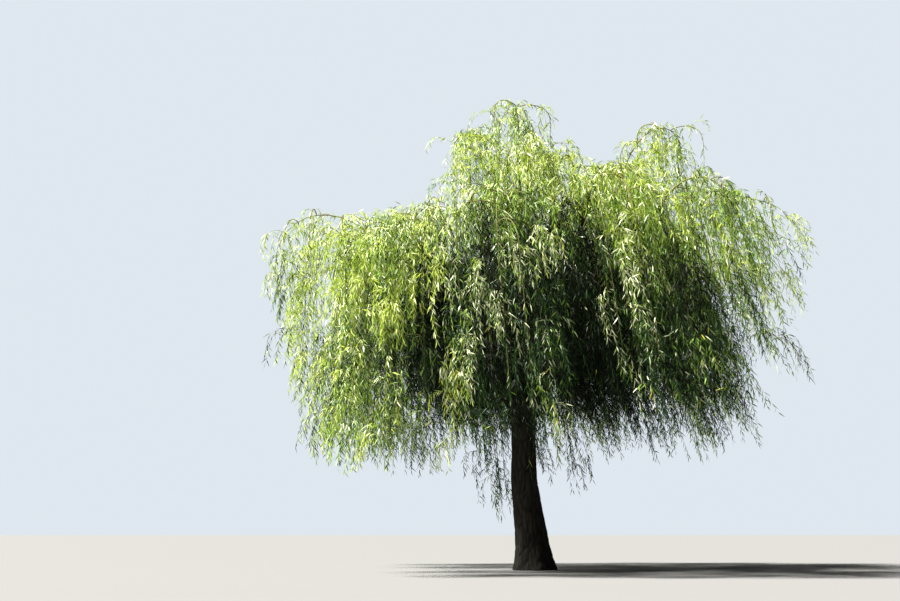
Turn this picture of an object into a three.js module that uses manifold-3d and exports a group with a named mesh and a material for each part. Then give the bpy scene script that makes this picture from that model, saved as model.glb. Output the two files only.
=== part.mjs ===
// A weeping willow in full leaf, 6.8 m tall and 8 m across, rooted in level ground.
// The trunk forks into primary limbs and a central leader. Their arms and crest boughs end in
// masses of foliage: arched stems with hanging shoots and long leaves, one closed solid for each mass.
// Millimetres, +Z up. The origin is the middle of the flat cut at ground level, and -Y is the front.

import * as THREE from "three";
import { mergeVertices } from "three/addons/utils/BufferGeometryUtils.js";
import Module from "manifold-3d";

const wasm = await Module();
wasm.setup();

// Trunk
const TRUNK_HEIGHT = 2480;
const TRUNK_SIDES = 16;
const TRUNK_STEPS = 11;
const FLARE_LOBES = 5;
// Height above ground, radius there, and how far the middle has leaned to the left by then.
const TRUNK_PROFILE = [
  [0, 292, 0],
  [120, 262, 4],
  [320, 238, 10],
  [500, 228, 16],
  [650, 218, 34],
  [960, 202, 74],
  [1250, 186, 108],
  [1660, 173, 106],
  [2050, 174, 110],
  [2260, 186, 112],
  [2400, 160, 112],
  [TRUNK_HEIGHT, 100, 112],
];
// The lower LOW_SHARE of the trunk's rings stand closer together, over LOW_HEIGHT of its height.
const LOW_SHARE = 0.3;
const LOW_HEIGHT = 0.24;
// The buttresses of the root flare: how far out they stand, how that is made up of an even part, the
// lobes and a lean to +X, how fast it fades, and where it has faded out
const FLARE_DEPTH = 62;
const FLARE_PARTS = { even: 0.35, lobes: 0.45, lean: 0.4 };
const FLARE_FADE = 1.6;
const FLARE_TOP = 620;
const HEAD_HEIGHT = 2230;
const HEAD_X = -112;

// Clear gap between a piece and the one that carries it
const SEAT_GAP = 0.35;

// Boughs: sides and steps of each, their radii at foot and tip, and how these run together
const LIMB_FACES = [7, 6];
const BOUGH_FACES = [6, 5];
const LIMB_RADII = [98, 62];
const LEADER_RADII = [84, 50];
const ARM_RADII = [43, 21];
const CREST_RADII = [38, 17];
const TAPER = 0.8;
// Each bough runs from its foot past a low and a high turn to its tip.
// Primary limbs leave the trunk's head on four sides.
const PRIMARY_LIMBS = 4;
const FIRST_LIMB_ANGLE = 45;
const LIMB_REACH = 830;
const LIMB_TIP_HEIGHT = 3560;
const LIMB_SHAPE = { seat: 60, lowOut: 0.42, lowRise: 330, highBack: 0.2, highUnder: 480 };
const LIMB_SPREAD = { angle: 7, reach: 60, height: 110 };
const LEADER_TIP = [-60, 40, 3950];
const LEADER_SHAPE = { seat: 20, low: [-50, -30, 620], high: [-70, 30, -600] };
// Arms leave a primary limb at these shares of it, and end ARM_TIP_UNDER below the shoulders of the
// crown, which are lower towards the front left.
const ARMS_FROM = [0.8, 0.97, 0.88];
const FIRST_ARM_ANGLE = 15;
const ARM_TURN = 30;
const ARM_REACH = 2230;
const ARM_SHAPE = { lowOut: 0.3, lowRise: 0.56, highOut: 0.72, highOver: 40 };
const ARM_SPREAD = { angle: 4, reach: 90 };
const ARM_TIP_UNDER = 470;
const SHOULDER_HEIGHT = 5230;
const SHOULDER_DIP = 620;
const SHOULDER_DIP_ANGLE = 225;
// Crest boughs get this far from the leader's tip towards the site of their crest, and climb to
// this share of its peak.
const CREST_BOUGH_REACH = 0.62;
const CREST_BOUGH_CLIMB = 0.81;
const CREST_SHAPE = { lowOut: 0.34, lowRise: 0.5, highOut: 0.78, highUnder: 230 };

// The wind leans hanging shoots to +X, more so towards that side. Below WIND_HEIGHT each metre of
// drop moves a shoot by WIND_MID plus WIND_RISE for each metre that it hangs off the middle.
const WIND_HEIGHT = 4800;
const WIND_MID = 0.1;
const WIND_RISE = 0.000045;

// Foliage. Twigs have three sides and end in a point. Each leaf stands for a hanging spray.
const TWIG_SIDES = 3;
const STEM_RADII = [17, 9];
const SHOOT_RADII = [12, 5];
// Where along its stem each shoot of a mass leaves it, as shares of the stem's arch, and by how much
// that varies
const SHOOTS_FROM = [0.16, 0.96];
const SHOOT_FROM_SPREAD = 0.04;
// A shoot's arch: the lifts of its two turns and the sag at its end, as shares of its mass's width
const SHOOT_ARCH = { lowOut: 0.4, low: 0.32, high: 0.48, sag: 0.42 };
// The least that a shoot drops, and the drop of a stem whose arch ends near the hem
const SHORTEST_DROP = 250;
const STUB_DROP = 100;
// A shoot that doesn't fit is tried again at these shares of its way out from the stem.
const NEARER = [1, 0.7, 0.4];
// Shares of a shoot and of a stem from which on they have to keep clear of the limbs, and how many
// steps of each are looked at
const SHOOT_CLEAR = 0.2;
const STEM_CLEAR = 0.5;
const TWIG_CHECKS = 20;
const LEAF_THICKNESS = 14;
const LEAF_WIDEST = 0.42;
// Leaves start at this share of a twig, and each sits at LEAF_AT of its part of the rest. It stands
// off the twig by the splay, is pulled down by the droop, and is turned about the twig by the golden
// angle from the last. Leaves on arches are shorter.
const FIRST_LEAF = 0.17;
const LEAF_AT = 0.3;
const LEAF_SPLAY = 38;
const LEAF_SPLAY_SPREAD = 9;
const LEAF_DROOP = 1.2;
const MOST_LEAVES = 40;
const GOLDEN_ANGLE = 137.5;
const GOLDEN_RATIO = 0.618034;
const ARCH_LEAF = 0.72;
const LEAF_SPREAD = 0.16;
const LEAF_SINK = 0.5;
// Uses of the seeded numbers, so that no two uses draw the same one
const USES = ["angle", "reach", "height", "hem", "from", "far", "first", "turn", "splay", "facing", "size"];
const USE = Object.fromEntries(USES.map((use, i) => [use, i + 1]));
// Seeds of the limbs, the arms and the kinds of mass, each counted on from here
const SEED = { limb: 50, arm: 60, curtain: 8, inner: 120, sprig: 40, crest: 138 };

// Spaces of the masses: in plan each keeps to the ground nearest its own site, SPACE_GAP clear of
// the next. Crests keep above CREST_FLOOR, inner masses below it, and curtains below CURTAIN_TOP.
const SPACE_GAP = 16;
const CREST_FLOOR = 4930;
const CURTAIN_TOP = 5470;
const CURTAIN_SITE = 2720;
const INNER_SITE = 1150;
const WOOD_CLEARANCE = 30;

// Sizes of each kind of mass. Width is how far its shoots hang to the side of its stem, and the
// leaf is its length and width.
const CURTAIN = { shoots: 6, width: 640, ragged: 160, leaf: [860, 220], pitch: 740, steps: 3 };
const SHOULDER = { shoots: 6, width: 560, ragged: 240, leaf: [780, 200], pitch: 690, steps: 3 };
const CREST = { shoots: 5, width: 520, ragged: 140, leaf: [620, 170], pitch: 470, steps: 3 };
const HUMP = { shoots: 8, width: 600, ragged: 140, leaf: [620, 170], pitch: 470, steps: 3 };
const INNER = { shoots: 4, width: 430, ragged: 170, leaf: [780, 200], pitch: 660, steps: 3 };
const SPRIG = { shoots: 2, width: 130, ragged: 90, leaf: [420, 105], pitch: 460, steps: 3 };

// Curtains: the outer masses, one at the tip of each arm. They reach further to the two sides
// than to front and back, and hang lower on the left.
const CURTAIN_REACH = 3430;
const CURTAIN_OVAL = 110;
const CURTAIN_HEM = 2210;
const CURTAIN_HEM_TILT = 190;
const CURTAIN_SPREAD = { reach: 150, hem: 120, height: 70 };
const CURTAIN_ARCH = { out: 0.2, rise: 50, overBack: 90, over: 80, hang: 760 };
// How much further out than its stem a shoot of a curtain may hang, as a share of the room there
const CURTAIN_OUT = 0.3;
// On the far left and right the hem is higher: from how far out, and how much for each millimetre
const HEM_RISE_LEFT = [2900, 3.3];
const HEM_RISE_RIGHT = [2250, 1.8];
// The curtains that reach furthest to the two sides: their reach and crest
const LONG_CURTAINS = new Map([
  [0, { reach: 3900, crest: 5330 }],
  [5, { reach: 3560, crest: 5150 }],
  [6, { reach: 3700, crest: 5010 }],
  [11, { reach: 3830, crest: 5260 }],
]);

// Inner masses: one at the tip of each primary limb
const INNER_REACH = 1420;
const INNER_HEM = 2420;
const INNER_ARCH = { out: 180, rise: 4120, over: 4180, hang: 3880 };

// Sprigs that hang beside the trunk from its head: angle in plan, distance out, and hem
const SPRIG_SEAT = { under: 120, out: 120 };
const SPRIG_ARCH = { out: 130, rise: 110, over: 90, hang: 40 };
const SPRIGS = [
  { angle: 200, reach: 430, hem: 1020 },
  { angle: 335, reach: 560, hem: 1330 },
];

// Crests over the middle and shoulders round them: how far up the leader the bough of each leaves,
// its site in plan, the top of its arch, and the hem of its shoots
const CREST_ARCH = { out: 0.2, rise: 60, past: 140, over: 160, hang: 480 };
const CRESTS = [
  { kind: CREST, from: 1.0, site: [-720, 100], peak: 6480, hem: 5060 },
  { kind: CREST, from: 0.93, site: [-160, -240], peak: 6800, hem: 5250 },
  { kind: CREST, from: 0.89, site: [600, 330], peak: 6240, hem: 5200 },
  { kind: HUMP, from: 0.85, site: [2120, -80], peak: 6530, hem: 5050 },
  { kind: SHOULDER, from: 0.8, site: [1780, 1080], peak: 6050, hem: 3600 },
  { kind: SHOULDER, from: 0.75, site: [1060, -1640], peak: 5450, hem: 3300 },
  { kind: SHOULDER, from: 0.7, site: [-80, -1660], peak: 5780, hem: 3100 },
  { kind: SHOULDER, from: 0.65, site: [-1540, -960], peak: 5120, hem: 3200 },
  { kind: SHOULDER, from: 0.6, site: [-1560, 960], peak: 5450, hem: 3300 },
  { kind: SHOULDER, from: 0.55, site: [-140, 1680], peak: 5950, hem: 3300 },
  { kind: SHOULDER, from: 0.5, site: [1030, 1620], peak: 5900, hem: 3500 },
];

const BARK = new THREE.MeshStandardMaterial({ color: 0x4a4238, roughness: 0.95, metalness: 0 });
const LIMB_BARK = new THREE.MeshStandardMaterial({ color: 0x6b6345, roughness: 0.9, metalness: 0 });
const FOLIAGE = new THREE.MeshStandardMaterial({ color: 0x6f8f2e, roughness: 0.55, metalness: 0 });

const UP = new THREE.Vector3(0, 0, 1);
const vector = (x, y, z) => new THREE.Vector3(x, y, z);
const radians = THREE.MathUtils.degToRad;
const between = (range, share) => range[0] + (range[1] - range[0]) * share;

// The same number from 0 to 1 each time for one mass, one item in it and one use.
function chance(mass, item, use) {
  const wave = Math.sin(mass * 12.9898 + item * 78.233 + use * 37.719) * 43758.5453;
  return wave - Math.floor(wave);
}

const spread = (mass, item, use, size) => (2 * chance(mass, item, use) - 1) * size;

// The way out from the middle of the crown at an angle in plan
const outward = (angle) => vector(Math.cos(radians(angle)), Math.sin(radians(angle)), 0);

// Where a point that hangs in still air goes in the wind, and back again.
function inWind(point) {
  const drop = Math.max(0, WIND_HEIGHT - point.z);
  return vector(point.x + (WIND_MID + WIND_RISE * point.x) * drop, point.y, point.z);
}

function inStillAir(point) {
  const drop = Math.max(0, WIND_HEIGHT - point.z);
  return vector((point.x - WIND_MID * drop) / (1 + WIND_RISE * drop), point.y, point.z);
}

// A closed solid from a geometry: its corners merged, its collapsed faces dropped.
function solidOf(geometry) {
  geometry.deleteAttribute("normal");
  geometry.deleteAttribute("uv");
  const merged = mergeVertices(geometry, 1e-3);
  const corners = merged.index.array;
  const kept = [];
  for (let i = 0; i < corners.length; i += 3) {
    const [a, b, c] = [corners[i], corners[i + 1], corners[i + 2]];
    if (a !== b && b !== c && a !== c) kept.push(a, b, c);
  }
  const vertProperties = merged.attributes.position.array;
  return new wasm.Manifold(new wasm.Mesh({ numProp: 3, vertProperties, triVerts: new Uint32Array(kept) }));
}

// The largest body of a solid, with any loose scrap and any sealed hollow left out.
function largestBody(solid) {
  const bodies = solid.decompose();
  return bodies.reduce((best, body) => (body.volume() > best.volume() ? body : best));
}

function meshOf(name, solid, material) {
  const mesh = solid.getMesh();
  const geometry = new THREE.BufferGeometry();
  geometry.setAttribute("position", new THREE.BufferAttribute(mesh.vertProperties, 3));
  geometry.setIndex(new THREE.BufferAttribute(mesh.triVerts, 1));
  geometry.computeVertexNormals();
  const made = new THREE.Mesh(geometry, material);
  made.name = name;
  return made;
}

// The two ways across a curve at a share of it. The curve lies near the upright plane that the
// level vector `level` stands square to.
function waysAcross(curve, share, level) {
  const along = curve.getTangent(share);
  const first = level.clone().cross(along).normalize();
  return { along, first, second: along.clone().cross(first) };
}

// A tapering limb: a cylinder whose rings are laid along a curve at the given shares of it.
function limbSolid(curve, level, radiusAt, sides, shares) {
  const steps = shares.length - 1;
  const geometry = new THREE.CylinderGeometry(1, 1, 1, sides, steps);
  const position = geometry.attributes.position;
  for (let i = 0; i < position.count; i++) {
    const share = shares[Math.round((position.getY(i) + 0.5) * steps)];
    const radius = radiusAt(share);
    const { first, second } = waysAcross(curve, share, level);
    const place = curve.getPoint(share).addScaledVector(first, position.getX(i) * radius);
    place.addScaledVector(second, -position.getZ(i) * radius);
    position.setXYZ(i, place.x, place.y, place.z);
  }
  return solidOf(geometry);
}

// Trunk

function profileAt(height, column) {
  const above = Math.max(1, TRUNK_PROFILE.findIndex((row) => row[0] >= height));
  const [low, high] = [TRUNK_PROFILE[above - 1], TRUNK_PROFILE[above]];
  return low[column] + ((high[column] - low[column]) * (height - low[0])) / (high[0] - low[0]);
}

const radiusOfTrunk = (height) => profileAt(height, 1);
const leanOfTrunk = (height) => profileAt(height, 2);

// How far the buttresses of the root flare stand out
function flareAt(height, angle) {
  const { even, lobes, lean } = FLARE_PARTS;
  const fade = Math.max(0, 1 - height / FLARE_TOP) ** FLARE_FADE;
  return FLARE_DEPTH * fade * (even + lobes * Math.cos(FLARE_LOBES * angle) + lean * Math.cos(angle));
}

function ringHeight(share) {
  if (share < LOW_SHARE) return (TRUNK_HEIGHT * LOW_HEIGHT * share) / LOW_SHARE;
  return TRUNK_HEIGHT * (LOW_HEIGHT + ((1 - LOW_HEIGHT) * (share - LOW_SHARE)) / (1 - LOW_SHARE));
}

function trunkSolid(grown) {
  const geometry = new THREE.CylinderGeometry(1, 1, 1, TRUNK_SIDES, TRUNK_STEPS);
  const position = geometry.attributes.position;
  for (let i = 0; i < position.count; i++) {
    const share = position.getY(i) + 0.5;
    const height = Math.min(TRUNK_HEIGHT, ringHeight(share));
    const angle = Math.atan2(-position.getZ(i), position.getX(i));
    const onRim = Math.hypot(position.getX(i), position.getZ(i));
    const radius = onRim * (radiusOfTrunk(height) + flareAt(height, angle) + grown);
    const x = radius * Math.cos(angle) - leanOfTrunk(height);
    position.setXYZ(i, x, radius * Math.sin(angle), height + (share === 1 ? grown : 0));
  }
  return solidOf(geometry);
}

const trunk = { name: "trunk", solid: trunkSolid(0), grown: trunkSolid(SEAT_GAP) };

// Boughs

// A limb of the tree: its curve, its radii at foot and tip, its solid, and that solid grown by the
// gap, which cuts what it carries.
function makeLimb(name, points, radii, [sides, steps], carriers) {
  const curve = new THREE.CubicBezierCurve3(...points);
  const level = points[3].clone().sub(points[0]).cross(UP).normalize();
  const shares = Array.from({ length: steps + 1 }, (_, i) => i / steps);
  const radiusAt = (share) => between(radii, share ** TAPER);
  const whole = limbSolid(curve, level, radiusAt, sides, shares);
  const solid = carriers.reduce((left, carrier) => largestBody(left.subtract(carrier.grown)), whole);
  const before = points[0].clone().addScaledVector(curve.getTangent(0), -SEAT_GAP);
  const past = points[3].clone().addScaledVector(curve.getTangent(1), SEAT_GAP);
  const longer = new THREE.CubicBezierCurve3(before, points[1], points[2], past);
  const grown = limbSolid(longer, level, (share) => radiusAt(share) + SEAT_GAP, sides, shares);
  return { name, curve, radiusAt, solid, grown, tip: points[3] };
}

function primaryLimb(index, earlier) {
  const { seat, lowOut, lowRise, highBack, highUnder } = LIMB_SHAPE;
  const seed = SEED.limb + index;
  const turn = (360 / PRIMARY_LIMBS) * index + spread(seed, 0, USE.angle, LIMB_SPREAD.angle);
  const angle = FIRST_LIMB_ANGLE + turn;
  const out = outward(angle);
  const foot = vector(HEAD_X, 0, HEAD_HEIGHT - seat);
  const reach = LIMB_REACH + spread(seed, 0, USE.reach, LIMB_SPREAD.reach);
  const tipHeight = LIMB_TIP_HEIGHT + spread(seed, 0, USE.height, LIMB_SPREAD.height);
  const tip = out.clone().multiplyScalar(reach).setZ(tipHeight);
  const low = foot.clone().addScaledVector(out, reach * lowOut).setZ(HEAD_HEIGHT + lowRise);
  const high = tip.clone().addScaledVector(out, -reach * highBack).setZ(tip.z - highUnder);
  const name = `primary_limb_${index + 1}`;
  return { ...makeLimb(name, [foot, low, high, tip], LIMB_RADII, LIMB_FACES, [trunk, ...earlier]), angle };
}

function centralLeader(limbs) {
  const foot = vector(HEAD_X, 0, HEAD_HEIGHT - LEADER_SHAPE.seat);
  const tip = vector(...LEADER_TIP);
  const low = foot.clone().add(vector(...LEADER_SHAPE.low));
  const high = tip.clone().add(vector(...LEADER_SHAPE.high));
  return makeLimb("central_leader", [foot, low, high, tip], LEADER_RADII, LIMB_FACES, [trunk, ...limbs]);
}

// Height of the crown's shoulders at an angle in plan
function shoulderAt(angle) {
  const towardsDip = Math.max(0, Math.cos(radians(angle - SHOULDER_DIP_ANGLE)));
  return SHOULDER_HEIGHT - SHOULDER_DIP * towardsDip ** 2;
}

function armOf(limb, index, earlier) {
  const { lowOut, lowRise, highOut, highOver } = ARM_SHAPE;
  const seed = SEED.arm + index;
  const angle = FIRST_ARM_ANGLE + ARM_TURN * index + spread(seed, 0, USE.angle, ARM_SPREAD.angle);
  const foot = limb.curve.getPoint(ARMS_FROM[index % ARMS_FROM.length]);
  const reach = ARM_REACH + spread(seed, 0, USE.reach, ARM_SPREAD.reach);
  const tip = outward(angle).multiplyScalar(reach).setZ(shoulderAt(angle) - ARM_TIP_UNDER);
  const low = foot.clone().lerp(tip, lowOut).setZ(between([foot.z, tip.z], lowRise));
  const high = foot.clone().lerp(tip, highOut).setZ(tip.z + highOver);
  const name = `arm_${index + 1}`;
  return { ...makeLimb(name, [foot, low, high, tip], ARM_RADII, BOUGH_FACES, [limb, ...earlier]), angle };
}

function crestBough(index, earlier) {
  const { lowOut, lowRise, highOut, highUnder } = CREST_SHAPE;
  const { from, site, peak } = CRESTS[index];
  const foot = leader.curve.getPoint(from);
  const tip = leader.tip.clone().lerp(vector(...site, 0), CREST_BOUGH_REACH).setZ(peak * CREST_BOUGH_CLIMB);
  const low = foot.clone().lerp(tip, lowOut).setZ(between([foot.z, tip.z], lowRise));
  const high = foot.clone().lerp(tip, highOut).setZ(tip.z - highUnder);
  const name = `crest_bough_${index + 1}`;
  return makeLimb(name, [foot, low, high, tip], CREST_RADII, BOUGH_FACES, [leader, ...earlier]);
}

const primaryLimbs = [];
for (let i = 0; i < PRIMARY_LIMBS; i++) primaryLimbs.push(primaryLimb(i, [...primaryLimbs]));
const leader = centralLeader(primaryLimbs);
const arms = [];
primaryLimbs.forEach((limb, i) => {
  const first = i * ARMS_FROM.length;
  for (let k = 0; k < ARMS_FROM.length; k++) arms.push(armOf(limb, first + k, arms.slice(first)));
});
const crestBoughs = [];
CRESTS.forEach((_, i) => crestBoughs.push(crestBough(i, [...crestBoughs])));
const boughs = [...primaryLimbs, leader, ...arms, ...crestBoughs];

// Points down the middle of each bough and the trunk, with the radius there
const WOOD_STEPS = 24;
const WOOD = [];
for (let i = 0; i <= WOOD_STEPS; i++) {
  const share = i / WOOD_STEPS;
  for (const { curve, radiusAt } of boughs) {
    WOOD.push({ place: curve.getPoint(share), radius: radiusAt(share) });
  }
  const height = share * TRUNK_HEIGHT;
  const radius = radiusOfTrunk(height) + flareAt(height, 0);
  WOOD.push({ place: vector(-leanOfTrunk(height), 0, height), radius });
}

const clearOfWood = (point, radius) =>
  WOOD.every((wood) => wood.place.distanceTo(point) > wood.radius + radius + WOOD_CLEARANCE);

// Foliage

// A hanging shoot in still air: an arch, then a straight drop, both moved by the wind.
class HangingCurve extends THREE.Curve {
  constructor(arch, drop) {
    super();
    this.arch = new THREE.CubicBezierCurve3(...arch);
    this.drop = drop;
    this.turn = this.arch.getLength() / (this.arch.getLength() + drop);
  }

  getPoint(share) {
    if (share < this.turn) return inWind(this.arch.getPoint(share / this.turn));
    const fallen = (this.drop * (share - this.turn)) / (1 - this.turn);
    return inWind(this.arch.v3.clone().addScaledVector(UP, -fallen));
  }

  // Shares of the curve for the rings of a twig: equal steps round the arch, then one to the end
  rings(steps) {
    return [...Array.from({ length: steps + 1 }, (_, i) => (this.turn * i) / steps), 1];
  }
}

// The lowest and highest that each tier of masses reaches
const TIERS = {
  inner: [0, CREST_FLOOR],
  curtain: [0, CURTAIN_TOP],
  shoulder: [0, Infinity],
  crest: [CREST_FLOOR, Infinity],
};

function tierReaches(mass, height, gap) {
  const [bottom, top] = TIERS[mass.tier];
  return height > bottom + gap && height < top - gap;
}

// Whether a point in still air lies in a mass's own space: within its tier's heights, and nearer
// its own site in plan than that of any other mass that reaches this height.
function inSpace(mass, still) {
  const own = Math.hypot(still.x - mass.site[0], still.y - mass.site[1]);
  const isOwn = (other) => {
    const theirs = Math.hypot(still.x - other.site[0], still.y - other.site[1]);
    const apart = Math.hypot(mass.site[0] - other.site[0], mass.site[1] - other.site[1]);
    return (theirs * theirs - own * own) / (2 * apart) > SPACE_GAP;
  };
  if (!tierReaches(mass, still.z, SPACE_GAP)) return false;
  return masses.every((other) => other === mass || !tierReaches(other, still.z, 0) || isOwn(other));
}

const fits = (mass, point, radius) => inSpace(mass, inStillAir(point)) && clearOfWood(point, radius);

// A long leaf: a ball of six faces drawn out along Y, its root at the origin, with its widest place
// at LEAF_WIDEST and a keel down its back. Across, the ball is an even triangle, sqrt(3) wide and
// 1.5 deep.
function leafSolid(length, width, place) {
  const geometry = new THREE.SphereGeometry(1, 3, 2, Math.PI / 6);
  geometry.scale(width / Math.sqrt(3), 1, LEAF_THICKNESS / 1.5);
  const position = geometry.attributes.position;
  for (let i = 0; i < position.count; i++) {
    const y = position.getY(i);
    position.setY(i, length * (Math.abs(y) < 0.5 ? LEAF_WIDEST : (y + 1) / 2));
  }
  geometry.applyMatrix4(place);
  return solidOf(geometry);
}

// Points on a leaf's edge and rib that have to stay in its mass's space
const leafEdge = (length, width) => [
  vector(0, length, 0),
  vector(0, length * 0.7, 0),
  vector(width / 2, length * LEAF_WIDEST, 0),
  vector(-width / 2, length * LEAF_WIDEST, 0),
];

// One leaf of a twig, turned about it by an angle, or nothing where it would leave the space of its
// mass or touch a limb.
function leafAt(mass, twig, share, item, turn) {
  const { curve, level, radii } = twig;
  const { along, first, second } = waysAcross(curve, share, level);
  const way = first.multiplyScalar(Math.cos(turn)).addScaledVector(second, Math.sin(turn));
  const splay = radians(LEAF_SPLAY + spread(mass.seed, item, USE.splay, LEAF_SPLAY_SPREAD));
  along.multiplyScalar(Math.cos(splay)).addScaledVector(way, Math.sin(splay));
  along.addScaledVector(UP, -LEAF_DROOP).normalize();
  const root = curve.getPoint(share).addScaledVector(along, -LEAF_SINK * between(radii, share));
  const facing = radians(360 * chance(mass.seed, item, USE.facing));
  const face = vector(root.x, root.y, 0).normalize().add(vector(Math.cos(facing), Math.sin(facing), 0));
  const side = along.clone().cross(face).normalize();
  const place = new THREE.Matrix4().makeBasis(side, along, side.clone().cross(along)).setPosition(root);
  const [full, width] = mass.kind.leaf;
  const size = (share < curve.turn ? ARCH_LEAF : 1) + spread(mass.seed, item, USE.size, LEAF_SPREAD);
  const length = full * size;
  const edge = leafEdge(length, width).map((corner) => corner.applyMatrix4(place));
  return edge.every((corner) => fits(mass, corner, 0)) ? leafSolid(length, width, place) : null;
}

// Leaves set along a twig, each turned on from the last by the golden angle. One that doesn't fit
// is tried on the other sides, and left out where none does.
function leavesOn(mass, twig, shoot) {
  const count = Math.max(1, Math.round((twig.curve.getLength() * (1 - FIRST_LEAF)) / mass.kind.pitch));
  const made = [];
  for (let i = 0; i < count; i++) {
    const share = between([FIRST_LEAF, 1], (i + LEAF_AT) / count);
    const turn = radians(GOLDEN_ANGLE * i + 360 * chance(mass.seed, shoot, USE.turn));
    for (const side of [0, Math.PI, Math.PI / 2, -Math.PI / 2]) {
      const leaf = leafAt(mass, twig, share, shoot * MOST_LEAVES + i, turn + side);
      if (leaf) {
        made.push(leaf);
        break;
      }
    }
  }
  return made;
}

// The solids of one twig and its leaves
function leafyTwig(mass, twig, shoot, steps) {
  const radiusAt = (share) => (share === 1 ? 0 : between(twig.radii, share));
  const wood = limbSolid(twig.curve, twig.level, radiusAt, TWIG_SIDES, twig.curve.rings(steps));
  return [wood, ...leavesOn(mass, twig, shoot)];
}

// The curve of a twig that hangs from an arch, as low as the hem where it can. It stops short where
// more of it would leave the space or touch a limb, and there is none where a short one would.
function hangFrom(mass, arch, hem, checkedFrom) {
  for (let drop = arch[3].z - hem; drop > SHORTEST_DROP; drop -= SHORTEST_DROP) {
    const curve = new HangingCurve(arch, drop);
    const shares = Array.from({ length: TWIG_CHECKS + 1 }, (_, i) => i / TWIG_CHECKS);
    const checked = shares.map((share) => curve.getPoint(between([checkedFrom, 1], share)));
    if (checked.every((point) => fits(mass, point, SHOOT_RADII[0]))) return curve;
  }
  return null;
}

// One shoot of a mass with its leaves. It hangs nearer its stem where it wouldn't fit further out.
function shootOf(mass, index, foot, aside) {
  const { width, steps, ragged } = mass.kind;
  const level = aside.clone().cross(UP).normalize();
  for (const nearer of NEARER) {
    const hang = foot.clone().addScaledVector(aside, nearer).addScaledVector(UP, -SHOOT_ARCH.sag * width);
    const low = foot.clone().lerp(hang, SHOOT_ARCH.lowOut).addScaledVector(UP, SHOOT_ARCH.low * width);
    const high = hang.clone().addScaledVector(UP, SHOOT_ARCH.high * width);
    const hem = hemUnder(mass, hang) + spread(mass.seed, index, USE.hem, ragged);
    const curve = hangFrom(mass, [foot, low, high, hang], hem, SHOOT_CLEAR);
    if (curve) return leafyTwig(mass, { curve, level, radii: SHOOT_RADII }, index, steps);
  }
  return [];
}

// How low a mass hangs under a place: its own hem, raised on the far left and right.
function hemUnder(mass, place) {
  const [from, rise] = place.x < 0 ? HEM_RISE_LEFT : HEM_RISE_RIGHT;
  return mass.hem + rise * Math.max(0, Math.abs(place.x) - from);
}

// A mass of foliage: one arched stem from the tip that carries it, shoots that leave the stem and
// hang round it, and leaves on them all, joined in one body and cut clear of its seat.
function growMass(mass) {
  const { shoots, steps } = mass.kind;
  const arch = [inStillAir(mass.foot), mass.rise, mass.over, mass.hang];
  const hem = hemUnder(mass, mass.hang);
  const curve = hangFrom(mass, arch, hem, STEM_CLEAR) ?? new HangingCurve(arch, STUB_DROP);
  const pieces = leafyTwig(mass, { curve, level: mass.side, radii: STEM_RADII }, 0, steps + 1);
  for (let i = 1; i <= shoots; i++) {
    const even = between(SHOOTS_FROM, (i - 0.5) / shoots);
    const from = even + spread(mass.seed, i, USE.from, SHOOT_FROM_SPREAD);
    const start = inStillAir(curve.getPoint(curve.turn * from));
    pieces.push(...shootOf(mass, i, start, mass.fan(i, start)));
  }
  const whole = largestBody(wasm.Manifold.union(pieces));
  return mass.carriers.reduce((left, carrier) => largestBody(left.subtract(carrier.grown)), whole);
}

// Which way a shoot of a curtain hangs from its stem: to either side, by a share of the room there
// that steps on by the golden ratio
function fanOfCurtain(mass, i, start) {
  const step = (i * GOLDEN_RATIO + chance(mass.seed, 0, USE.first)) % 1;
  const room = Math.min(1, Math.hypot(start.x, start.y) / CURTAIN_REACH) * mass.kind.width;
  const aside = mass.side.clone().multiplyScalar((2 * step - 1) * room);
  return aside.addScaledVector(mass.out, CURTAIN_OUT * room * chance(mass.seed, i, USE.far));
}

// Which way a shoot of any other mass hangs: round the stem by the golden angle
function fanAround(mass, i) {
  const turn = radians(GOLDEN_ANGLE * i + 360 * chance(mass.seed, 0, USE.first));
  const far = mass.kind.width * between([0.5, 1], chance(mass.seed, i, USE.far));
  const aside = mass.side.clone().multiplyScalar(Math.sin(turn) * far);
  return aside.addScaledVector(mass.out, Math.cos(turn) * far);
}

// What every mass has. Its arch rises from its foot, turns over and comes down to where it hangs.
function massOf(name, seed, tier, kind, foot, carriers, out, sizes) {
  const mass = { name, seed, tier, kind, foot, carriers, out, side: UP.clone().cross(out), ...sizes };
  mass.fan = kind === CURTAIN ? (i, start) => fanOfCurtain(mass, i, start) : (i) => fanAround(mass, i);
  return mass;
}

function curtainOf(arm, index) {
  const seed = SEED.curtain + index;
  const out = outward(arm.angle);
  const oval = CURTAIN_OVAL * Math.cos(radians(2 * arm.angle));
  const { reach, crest } = {
    reach: CURTAIN_REACH + oval + spread(seed, 0, USE.reach, CURTAIN_SPREAD.reach),
    crest: shoulderAt(arm.angle) + spread(seed, 0, USE.height, CURTAIN_SPREAD.height),
    ...LONG_CURTAINS.get(index),
  };
  const rise = inStillAir(arm.tip).addScaledVector(out, CURTAIN_ARCH.out * (reach - ARM_REACH));
  return massOf(`curtain_${index + 1}`, seed, "curtain", CURTAIN, arm.tip, [arm], out, {
    site: [CURTAIN_SITE * out.x, CURTAIN_SITE * out.y],
    rise: rise.setZ(crest + CURTAIN_ARCH.rise),
    over: out.clone().multiplyScalar(reach - CURTAIN_ARCH.overBack).setZ(crest + CURTAIN_ARCH.over),
    hang: out.clone().multiplyScalar(reach).setZ(crest - CURTAIN_ARCH.hang),
    hem: CURTAIN_HEM + CURTAIN_HEM_TILT * out.x + spread(seed, 0, USE.hem, CURTAIN_SPREAD.hem),
  });
}

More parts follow.
